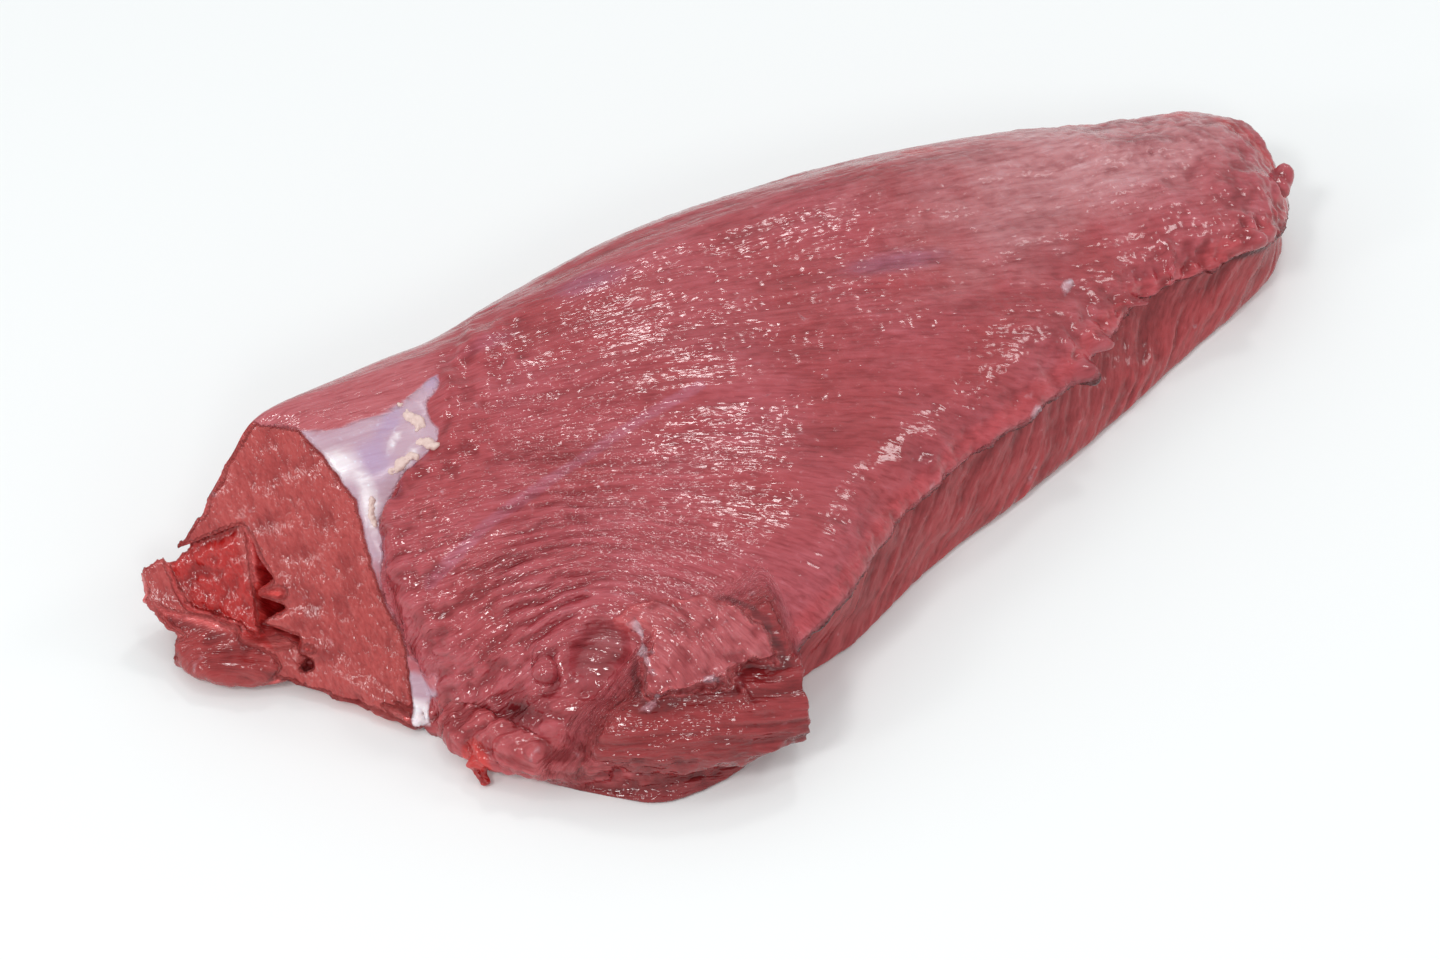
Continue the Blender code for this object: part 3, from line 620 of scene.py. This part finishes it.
def silver_regions(points, normals, over, past, cut):
    """Where the silverskin and its shades lie, the rosy muscle behind it and the roll at its foot."""
    x, y, z = points.T
    top = ease((normals[:, 2] + 0.25) / 0.3) * (1 - cut) * ease((z - 1.0) / 2)
    spread = inside(points[:, :2], SILVER) + 0.8 * noise(points / 5, 22)
    foot = near_path(points, ROLLS["foot"][0])
    beyond = ease((over + 0.4) / 0.5) * ease((foot - 3.8) / 0.8)
    silver = ease(spread / 1.2 + 0.5) * ease(-past / 0.8 + 0.6) * top * beyond
    low = ease((z - 7) / 3) * ease((24 - z) / 4)
    pink = ease((-x - 52 + 0.55 * (y - 30)) / 16 + 0.5 * noise(points / 6, 60)) * ease((y - 24) / 4)
    return {
        "silver": silver,
        "veil": silver * low * (0.95 + 0.5 * noise(points / 2.5, 57)),
        # Partly the silverskin's own whiter film, partly painted light: its lower parts are painted whiter as
        # if lit
        "white_and_lit": np.clip(silver * patches(points, WHITE) + silver * ease((7 - z) / 3), 0, 1),
        "violet": silver * patches(points, VIOLET),
        "pink": pink * (1 - cut) * ease(0.8 - past / 1) * ease((z - 14) / 14),
        "foot": ease((6.0 - foot) / 1.5) * (1 - silver),
    }


def front_regions(points, normals, apart, past, within, cut, silver):
    """Where the lip, the strip under it, the dent, the torn sheet and the muscle's other shades lie."""
    x, y, z = points.T
    front = ease((z - 10) / 5)
    lip_y = np.interp(x, *np.array(LIP_Y).T)
    lip_z = np.interp(x, *np.array(LIP_Z).T)
    strip = ease((lip_z - 1.2 - z) / 1.2) * ease((lip_y + 9 - y) / 2) * ease((x + 35) / 3)
    lip = np.exp(-(((y - lip_y) / 2.2) ** 2)) * np.exp(-(((z - lip_z) / 3) ** 2))
    sheet = ease((z - 12) / 3) * ease(within / 0.8)
    dent = front * np.exp(-((apart / (DENT_RADIUS + 0.6)) ** 4))
    film = ease((x + 14) / 90) * (0.25 + 0.75 * ease((y - lip_y - 4) / 20)) * (1 - strip)
    scraps = sum(spot(points, *patch) for patch in MILKY) + 0.5 * noise(points / 1.1, 44) - 0.15
    return {
        "strip": strip,
        # Painted shadow: the top of the strip just under the lip is darkened as the lip's shade
        "under": strip * ease((z - lip_z + 7) / 3),
        "lip": lip * ease((x + 38) / 6),
        "bank": ease(past / 1.5) * ease((15 - past) / 9) * ease((z - 4) / 4) * ease((38 - y) / 6),
        "dent": dent,
        "sheet": sheet,
        # Painted shadow: a dark band on the muscle just outside the torn sheet, where its hem overhangs
        "sheet_shadow": ease((z - 10) / 3) * ease((within + 2.0) / 1.0) * ease(-within / 0.5) * ease((-24 - y) / 4),
        "stripe": ease((1.7 - near_path(points[:, :2], STRIPE)) / 1.3) * front,
        # Painted shade: the pit beside the droplet is darkened as the shade in its hollow
        "shaded_pit": patches(points, PIT) * ease((z - 5) / 4),
        "hem": ease((z - 12) / 3) * np.exp(-(((within - 0.5) / 0.9) ** 2)),
        "front": ease((13 - z) / 5) * ease((lip_y + 4 - y) / 5) * ease((-34 - x) / 4) * (1 - cut),
        # Painted sheen in part: the film's paler grey goes only on faces turned up toward the lamps
        "film": film * ease((normals[:, 2] - 0.2) / 0.4),
        "purple": patches(points, PURPLE) * front,
        "raw": patches(points, RAW) * front,
        "gloss": ease((-30 - x) / 25) * ease((24 - y) / 14) * (1 - cut) * (1 - silver),
        "milky": ease(1.6 * scraps) * ease((z - 2) / 3),
        "strap": ease((-25 - y) / 6) * ease((-32 - x) / 3) * (1 - sheet) * (1 - dent),
    }


def fibres(points, found, apart, out, up, side):
    """The coordinates across, along and through the fibres, which fan out and follow what they run over."""
    x, y, z = points.T
    fan = points[:, :2] - FAN_CENTRE
    across = np.arctan2(fan[:, 1], fan[:, 0]) * FAN_RADIUS
    across = across - BEND * np.exp(-((apart / BEND_RADIUS) ** 2)) * ease((z - 4) / 5)
    grain = np.column_stack([across, np.hypot(*fan.T), z])
    courses = {
        "strap": (0.50 * x + 0.72 * y + 1.0 * z - 60, 0.82 * x - 0.57 * y, z),
        "strip": ((x - 1.38 * z) * 0.59, 0.59 * x + 0.81 * z, y),
        "cut": (side, up, out),
    }
    for name, course in courses.items():
        share = found[name][:, None]
        grain = grain * (1 - share) + np.column_stack(course) * share
    grain[:, 0] += 1.4 * noise(points / 38, 24) + 0.5 * noise(points / 13, 25)
    return grain


def regions(points, normals):
    """Where each kind of surface lies, 0 to 1 at every point, the fibres' own coordinates, how far each point
    is from the dent, and how deep it lies in the main muscle and in the torn sheet."""
    out, up, side = ((points - CUT_CORNER) @ way for way in (CUT_OUT, CUT_UP, CUT_SIDE))
    over = side - np.interp(up, *np.array(RIM)[:, :2].T) + 0.25 * noise(points / 1.5, 42)
    past = inside(points[:, :2], MUSCLE) + 0.9 * noise(points / 4, 4) + 0.5 * noise(points / 1.8, 21)
    within = inside(points[:, :2], SHEET) + 0.9 * noise(points / 3, 8) + 0.4 * noise(points / 1.2, 23)
    apart = np.hypot(points[:, 0] - DENT[0], (points[:, 1] - DENT[1]) * 1.15) + 0.8 * noise(points / 5, 6)
    found = cut_regions(points, normals, out, over)
    found |= silver_regions(points, normals, over, past, found["cut"])
    found |= front_regions(points, normals, apart, past, within, found["cut"], found["silver"])
    return found, fibres(points, found, apart, out, up, side), apart, past, within


def swells(points, apart, past, within, smooth):
    """The broad relief in millimetres: swellings, the muscle's edge, the dent, the sheet and the torn lip."""
    x, y, z = points.T
    fan = points[:, :2] - FAN_CENTRE
    wide = np.arctan2(fan[:, 1], fan[:, 0]) * FAN_RADIUS
    far = np.hypot(*fan.T)
    front = ease((z - 10) / 5)
    high = ease((z - 3) / 5) * ease((41 - y) / 8)
    lip = y - np.interp(x, *np.array(LIP_Y).T)
    hollow = apart + 0.22 * (y - DENT[1] + 0.9 * (x - DENT[0]))
    rise = layered([
        (0.8, points, 35, 1, 1),
        (0.5, np.column_stack([wide, far, z]), (7, 55, 9), 2, 1),
        (0.3, np.column_stack([wide, far, z]), (3.6, 28, 5), 3, smooth),
        (0.9, points, 4.5, 5, high * np.exp(-(((past - 4) / 6) ** 2))),
        (0.35, points, 5, 9, ease((x - 55) / 30) * ease((z - 8) / 6)),
        (0.9, points, 4.5, 10, np.exp(-((lip / 4) ** 2)) * ease((x + 40) / 30) * ease((z - 10) / 4)),
        (0.8, points, 5.5, 11, ease((9 - z) / 4) * ease((-5 - lip) / 8 + 1) * ease((-20 - x) / 20)),
    ])
    rise += high * EDGE_RISE * ease(past / 2.0) * (0.3 + 0.7 * np.exp(-np.clip(past, 0, 99) / 16))
    rise -= front * DENT_DEPTH * np.exp(-((hollow / DENT_RADIUS) ** 6))
    rise += front * 0.4 * np.exp(-(((apart - 6.2) / 1.4) ** 2)) * ease((y - DENT[1] + 3) / 5)
    rise += front * SHEET_RISE * ease(within / 0.5) * ease((z - 12) / 3)
    return rise


def folds(points, found, grain, apart, smooth):
    """The fine relief of the outer muscle in millimetres: fibres, ripples and torn edges."""
    x, y, z = points.T
    strip, strap, bank, sheet = (found[name] for name in ("strip", "strap", "bank", "sheet"))
    main = smooth * (1 - strip) * (1 - 0.7 * strap)
    rippled = ease((apart - 6) / 3) * ease((34 - apart) / 8) * ease((-46 - x) / 10) * ease((y + 30) / 10)
    rippled = rippled * (1 - strap) * smooth
    flaky = found["front"] * ease(z / 4)
    crumbly = ease((x - 48) / 40) * ease((z - 8) / 6) * (1 - strip)
    lip = y - np.interp(x, *np.array(LIP_Y).T)
    ragged = ease((x + 40) / 30) * ease((z - 10) / 4) * (0.35 + 0.65 * ease((x - 30) / 25))
    ragged = np.exp(-((lip / 3) ** 2)) * ragged
    lines = np.column_stack([0.50 * x + 0.72 * y + 1.0 * z, 0.82 * x - 0.57 * y, z])
    fold = layered([
        (0.13, grain, (2.2, 16, 4), 43, main),
        (0.10, grain, (1, 8, 1.8), 34, main),
        (0.05, points, 0.9, 37, main),
        (0.20, grain, (1.7, 9, 3), 63, main * found["gloss"]),
        (0.30, points, 2.1, 31, bank),
        (0.20, points, 1.1, 45, bank),
        (0.34, grain, (1.3, 6, 2), 58, rippled),
        (0.42, lines, (1.5, 7, 2), 47, found["dent"]),
        (0.36, grain, (1.2, 6, 1.6), 48, strap),
        (0.22, grain, (2.6, 12, 3), 49, strap),
        (0.30, points, 1.8, 50, sheet),
        (0.15, points, 0.9, 51, sheet),
        (0.40, points, (4.5, 4.5, 1.4), 52, flaky),
        (0.35, points, 1.2, 59, flaky),
        (0.34, grain, (1, 12, 6), 36, strip),
        (0.10, points, 1, 53, strip),
        (0.20, grain, (1.3, 5, 2), 32, crumbly),
        (0.16, points, 1, 54, crumbly),
        (0.60, points, 1.9, 33, ragged),
        (0.20, points, 1, 55, ragged),
    ])
    phase = 3.0 * noise(points / 8, 7) + 1.3 * noise(points / 3, 46)
    wave = np.sin(grain[:, 0] * 2 * np.pi / WAVE_LENGTH + phase)
    fold += WAVE_HEIGHT * rippled * wave * (0.5 + 0.9 * noise(points / 6, 13))
    return fold - PIT_DEPTH * found["shaded_pit"]


def relief(points, found, grain, apart, past, within):
    """How far each point of the surface stands out in millimetres, and its fine folds alone from -1 to 1."""
    cut, wet, lobe = (found[name] for name in ("cut", "wet", "lobe"))
    free = (1 - cut) * (1 - wet) * ease(points[:, 2] / 3)
    smooth = 1 - np.clip(found["silver"] + 0.8 * found["pink"], 0, 1)
    fold = folds(points, found, grain, apart, smooth) * free
    fold += layered([
        (0.20, points, 3, 12, cut),
        (0.14, grain, (0.7, 1.6, 1.2), 38, cut),
        (0.40, points, 3.5, 16, wet),
        (0.30, points, 1.5, 39, wet),
        (0.15, points, 0.8, 56, wet),
        (0.50, points, (6, 5, 2.2), 40, lobe),
        (0.30, points, 1.6, 41, lobe),
        (0.30, points, 1.6, 57, found["deep"]),
    ])
    return swells(points, apart, past, within, smooth) * free + fold, np.clip(fold / FULL_FOLD, -1, 1)


def read(data, name):
    """A vector of each vertex, as rows."""
    values = np.empty(3 * len(data.vertices))
    data.vertices.foreach_get(name, values)
    return values.reshape(-1, 3)


def keep(data, name, values):
    """Stores a value or a vector for each vertex, for the materials."""
    values = np.asarray(values, np.float32)
    kind = "FLOAT_VECTOR" if values.ndim == 2 else "FLOAT"
    layer = data.attributes.new(name, kind, "POINT")
    layer.data.foreach_set("vector" if values.ndim == 2 else "value", values.ravel())


def muscle():
    """The whole piece at its fine resolution, with its regions stored on it for the material."""
    meat = loft("meat_surface", body_rings())
    cut(meat, knife())
    cut(meat, pocket())
    cut(meat, bared())
    cut(meat, hull("hollow", HOLLOW))
    cut(meat, hull("heel", HEEL))
    join(meat, [roll(name, *sizes) for name, sizes in ROLLS.items()])
    skin(meat, VOXEL)
    whole(meat)
    data = meat.data
    points = read(data, "co") / MM
    normals = read(data, "normal")
    found, grain, apart, past, within = regions(points, normals)
    rise, fold = relief(points, found, grain, apart, past, within)
    data.vertices.foreach_set("co", ((points + normals * rise[:, None]) * MM).ravel())
    keep(data, "fold", fold)
    for name, mask in found.items():
        keep(data, name, np.clip(mask, 0, 1))
    keep(data, "grain", grain)
    stand(meat)
    fewer = meat.modifiers.new("fewer", "DECIMATE")
    fewer.ratio = min(1.0, TRIANGLES / (2 * len(meat.data.polygons)))
    settle(meat)
    data = meat.data
    data.update()
    data.shade_smooth()
    return meat


def stand(made):
    """Cuts the base flat and puts the middle of the footprint on the origin."""
    mesh = bmesh.new()
    mesh.from_mesh(made.data)
    everything = mesh.verts[:] + mesh.edges[:] + mesh.faces[:]
    level = (0, 0, BASE_CUT * MM)
    sliced = bmesh.ops.bisect_plane(
        mesh, geom=everything, dist=1e-7, plane_co=level, plane_no=(0, 0, 1), clear_inner=True
    )
    rim = [part for part in sliced["geom_cut"] if isinstance(part, bmesh.types.BMEdge)]
    bmesh.ops.holes_fill(mesh, edges=rim, sides=0)
    mesh.to_mesh(made.data)
    mesh.free()
    made.data.transform(Matrix.Translation(-ORIGIN * MM))


def node(tree, kind, inputs=(), **settings):
    """A shader node, its inputs given by name or number as values or as sockets to link from."""
    made = tree.nodes.new(kind)
    for key, value in settings.items():
        setattr(made, key, value)
    for key, value in dict(inputs).items():
        if isinstance(value, bpy.types.NodeSocket):
            tree.links.new(value, made.inputs[key])
        else:
            made.inputs[key].default_value = value
    return made


def math_node(tree, operation, first, second=0.0, third=0.0, clamp=False):
    """The result of a sum on numbers or sockets."""
    inputs = {0: first, 1: second, 2: third}
    return node(tree, "ShaderNodeMath", inputs, operation=operation, use_clamp=clamp).outputs[0]


def mix(tree, share, first, second):
    """A colour between two others."""
    made = node(tree, "ShaderNodeMix", {0: share, 6: first, 7: second}, data_type="RGBA")
    return made.outputs[2]


def tint(tree, share, shade, factor):
    """A colour multiplied by another, as far as the share goes."""
    inputs = {0: share, 6: shade, 7: factor}
    return node(tree, "ShaderNodeMix", inputs, data_type="RGBA", blend_type="MULTIPLY").outputs[2]


def mask(tree, name):
    """A value that is stored on the mesh."""
    return node(tree, "ShaderNodeAttribute", attribute_name=name).outputs["Fac"]


def grain_noise(tree, vector, cells, detail=2.0, seed=0.0):
    """Noise whose cells have the given sizes in millimetres along the fibres' coordinates."""
    scale = tuple(1 / size for size in cells)
    spread = node(tree, "ShaderNodeVectorMath", {0: vector, 1: scale}, operation="MULTIPLY")
    moves = {0: spread.outputs[0], 1: (seed, 2 * seed, 0)}
    shift = node(tree, "ShaderNodeVectorMath", moves, operation="ADD")
    made = node(tree, "ShaderNodeTexNoise", {"Vector": shift.outputs[0], "Scale": 1.0, "Detail": detail})
    return made.outputs["Fac"]


def stretch(tree, value, low, high):
    """Maps low to 0 and high to 1, and cuts off outside them."""
    made = node(tree, "ShaderNodeMapRange", {"Value": value, "From Min": low, "From Max": high}, clamp=True)
    return made.outputs[0]


def colour(red, green, blue):
    """An sRGB colour of 0 to 255 as linear light, with its alpha."""
    shares = [value / 255 for value in (red, green, blue)]
    return (*(v / 12.92 if v < 0.0404 else ((v + 0.055) / 1.055) ** 2.4 for v in shares), 1.0)


def painted(tree, noises):
    """The colour of the muscle with every region painted over it, its edges broken up."""
    base = stretch(tree, noises["broad"], 0.35, 0.65)
    shade = mix(tree, base, colour(*COLOURS["muscle"]), colour(*COLOURS["muscle_pale"]))
    edge = math_node(tree, "MULTIPLY", math_node(tree, "SUBTRACT", noises["patchy"], 0.5), 0.8)
    for name, share in PAINT.items():
        solid = stretch(tree, math_node(tree, "ADD", mask(tree, name), edge), 0.3, 0.75)
        kept = math_node(tree, "MULTIPLY", solid, mask(tree, name))
        kept = math_node(tree, "MULTIPLY", kept, share, clamp=True)
        shade = mix(tree, kept, shade, colour(*COLOURS[name]))
    return shade


def streaked_and_fold_shaded(tree, noises, shade, places):
    """The colour with its darker and paler streaks, and painted shade in the folds' valleys and painted light
    on their ridges.
    """
    for name, none, full, strength, where, factor in STREAKS_AND_FOLD_SHADING:
        share = math_node(tree, "MULTIPLY", stretch(tree, noises[name], none, full), places[where])
        shade = tint(tree, math_node(tree, "MULTIPLY", share, strength), shade, factor)
    return shade


def roughness(tree, noises):
    """How rough the wet surface is, roughest on the dry film, the strip and the silverskin."""
    dull = math_node(tree, "MULTIPLY", mask(tree, "strip"), 0.7)
    dull = math_node(tree, "ADD", mask(tree, "film"), dull, clamp=True)
    rough = math_node(tree, "MULTIPLY_ADD", noises["patchy"], 0.16, 0.04)
    rough = math_node(tree, "MULTIPLY_ADD", mask(tree, "gloss"), -0.03, rough, clamp=True)
    rough = math_node(tree, "MULTIPLY_ADD", dull, 0.14, rough)
    rough = math_node(tree, "MULTIPLY_ADD", mask(tree, "cut"), 0.03, rough)
    return math_node(tree, "MULTIPLY_ADD", mask(tree, "silver"), 0.12, rough)


def ridges(tree, noises, calm):
    """The height of the fine ridges that break up the gloss."""
    uneven = stretch(tree, noises["uneven"], 0.38, 0.66)
    height = math_node(tree, "MULTIPLY", noises["ripple"], 0.17)
    height = math_node(tree, "MULTIPLY_ADD", noises["pebble"], 0.10, height)
    height = math_node(tree, "MULTIPLY", height, math_node(tree, "MULTIPLY_ADD", uneven, 0.8, 0.2))
    crumb = math_node(tree, "MULTIPLY", noises["crumb"], mask(tree, "cut"))
    height = math_node(tree, "MULTIPLY_ADD", crumb, 0.14, height)
    height = math_node(tree, "MULTIPLY_ADD", noises["dust"], 0.05, height)
    strength = math_node(tree, "MULTIPLY_ADD", mask(tree, "gloss"), 1.3, calm)
    strength = math_node(tree, "MULTIPLY_ADD", mask(tree, "film"), 0.8, strength)
    return math_node(tree, "MULTIPLY", height, strength)


def meat_material():
    """The wet muscle, with its silverskin and torn film."""
    material = bpy.data.materials.new("wet_muscle")
    material.use_nodes = True
    tree = material.node_tree
    tree.nodes.clear()
    place = node(tree, "ShaderNodeTexCoord").outputs["Object"]
    millimetres = (1 / MM, 1 / MM, 1 / MM)
    place = node(tree, "ShaderNodeVectorMath", {0: place, 1: millimetres}, operation="MULTIPLY").outputs[0]
    grain = node(tree, "ShaderNodeAttribute", attribute_name="grain").outputs["Vector"]
    vectors = {"place": place, "grain": grain}
    noises = {name: grain_noise(tree, vectors[kind], *sizes) for name, (kind, *sizes) in NOISES.items()}
    noises["fold"] = mask(tree, "fold")

    calm = math_node(tree, "SUBTRACT", 1.0, math_node(tree, "MULTIPLY", mask(tree, "silver"), 0.85))
    muscle = math_node(tree, "MULTIPLY", calm, math_node(tree, "SUBTRACT", 1.0, mask(tree, "cut")))
    places = {"all": 1.0, "calm": calm, "cut": mask(tree, "cut"), "muscle": muscle}
    shade = streaked_and_fold_shaded(tree, noises, painted(tree, noises), places)
    height = ridges(tree, noises, calm)
    bump = node(tree, "ShaderNodeBump", {"Height": height, "Distance": MM, "Strength": 1.0})
    surface = node(
        tree,
        "ShaderNodeBsdfPrincipled",
        {
            "Base Color": shade,
            "Roughness": roughness(tree, noises),
            "Normal": bump.outputs[0],
            "IOR": 1.5,
            "Subsurface Weight": 0.08,
            "Subsurface Radius": (1.0, 0.25, 0.15),
            "Subsurface Scale": 0.0015,
        },
    )
    node(tree, "ShaderNodeOutputMaterial", {"Surface": surface.outputs[0]})
    return material


def plain_material(name, base, roughness):
    """A material of one colour."""
    material = bpy.data.materials.new(name)
    material.use_nodes = True
    surface = material.node_tree.nodes["Principled BSDF"]
    surface.inputs["Base Color"].default_value = base
    surface.inputs["Roughness"].default_value = roughness
    return material


def light(name, place, size, power):
    """A soft box that faces the origin."""
    lamp = bpy.data.lights.new(name, "AREA")
    lamp.shape = "RECTANGLE"
    lamp.size, lamp.size_y = size
    lamp.energy = power
    made = bpy.data.objects.new(name, lamp)
    made.location = place
    made.rotation_mode = "QUATERNION"
    made.rotation_quaternion = Vector(place).to_track_quat("Z", "Y")
    bpy.context.scene.collection.objects.link(made)


def studio():
    """The floor, the soft light and the camera."""
    mesh = bmesh.new()
    bmesh.ops.create_grid(mesh, x_segments=4, y_segments=4, size=3.0)
    data = bpy.data.meshes.new("floor")
    mesh.to_mesh(data)
    mesh.free()
    floor = bpy.data.objects.new("floor", data)
    bpy.context.scene.collection.objects.link(floor)
    data.materials.append(plain_material("board", FLOOR_COLOUR, 0.6))

    world = bpy.data.worlds.new("room")
    bpy.context.scene.world = world
    world.use_nodes = True
    world.node_tree.nodes["Background"].inputs[0].default_value = WORLD_COLOUR
    world.node_tree.nodes["Background"].inputs[1].default_value = WORLD_STRENGTH
    for lamp in LIGHTS:
        light(*lamp)

    turn, rise = math.radians(CAMERA_TURN), math.radians(CAMERA_RISE)
    back = Vector((math.sin(turn) * math.cos(rise), -math.cos(turn) * math.cos(rise), math.sin(rise)))
    lens = bpy.data.cameras.new("camera")
    lens.lens = CAMERA_LENS
    lens.sensor_width = 36
    lens.clip_start = 0.01
    camera = bpy.data.objects.new("camera", lens)
    bpy.context.scene.collection.objects.link(camera)
    camera.location = (Vector(CAMERA_TARGET) - ORIGIN + back * CAMERA_FAR) * MM
    camera.rotation_mode = "QUATERNION"
    camera.rotation_quaternion = back.to_track_quat("Z", "Y")
    bpy.context.scene.camera = camera
    bpy.context.scene.view_settings.view_transform = "Standard"
    bpy.context.scene.view_settings.look = "None"


def fat_bits():
    """The crumbs of fat, as one piece."""
    first, *others = [roll("fat", *sizes, (0, 0, 1)) for sizes in FAT]
    join(first, others)
    first.name = "fat_bits"
    skin(first, FAT_VOXEL)
    data = first.data
    points = read(data, "co") / MM
    rise = 0.4 * noise(points / 0.9, 61) + 0.25 * noise(points / 0.5, 62)
    data.vertices.foreach_set("co", ((points + read(data, "normal") * rise[:, None]) * MM).ravel())
    data.transform(Matrix.Translation(-ORIGIN * MM))
    data.update()
    data.shade_smooth()
    return first


def film(meat, name, region, lift):
    """A thin closed film over the part of the muscle where a region is strong."""
    mesh = bmesh.new()
    mesh.from_mesh(meat.data)
    share = mesh.verts.layers.float[region]
    bare = [face for face in mesh.faces if min(corner[share] for corner in face.verts) < FILM_EDGE]
    bmesh.ops.delete(mesh, geom=bare, context="FACES")
    mesh.normal_update()
    for vertex in mesh.verts:
        thin = min(1.0, (vertex[share] - FILM_EDGE) / FILM_SLOPE)
        vertex.co += vertex.normal * (lift * thin - FILM_SINK) * MM
    data = bpy.data.meshes.new(name)
    mesh.to_mesh(data)
    mesh.free()
    made = bpy.data.objects.new(name, data)
    bpy.context.scene.collection.objects.link(made)
    thick = made.modifiers.new("thick", "SOLIDIFY")
    thick.thickness = FILM_THICKNESS * MM
    settle(made)
    made.data.shade_smooth()
    return made


def main():
    """Builds the meat, its films and its fat, and the studio round them."""
    meat = muscle()
    wet = meat_material()
    meat.data.materials.append(wet)
    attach(meat, "root")
    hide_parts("meat")
    for name, region, lift in FILMS:
        skin_piece = film(meat, name, region, lift)
        skin_piece.data.materials.append(wet)
        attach(skin_piece, "root")
    fat = fat_bits()
    fat.data.materials.append(plain_material("soft_fat", colour(*FAT_COLOUR), 0.35))
    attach(fat, "root")
    studio()
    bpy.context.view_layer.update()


main()
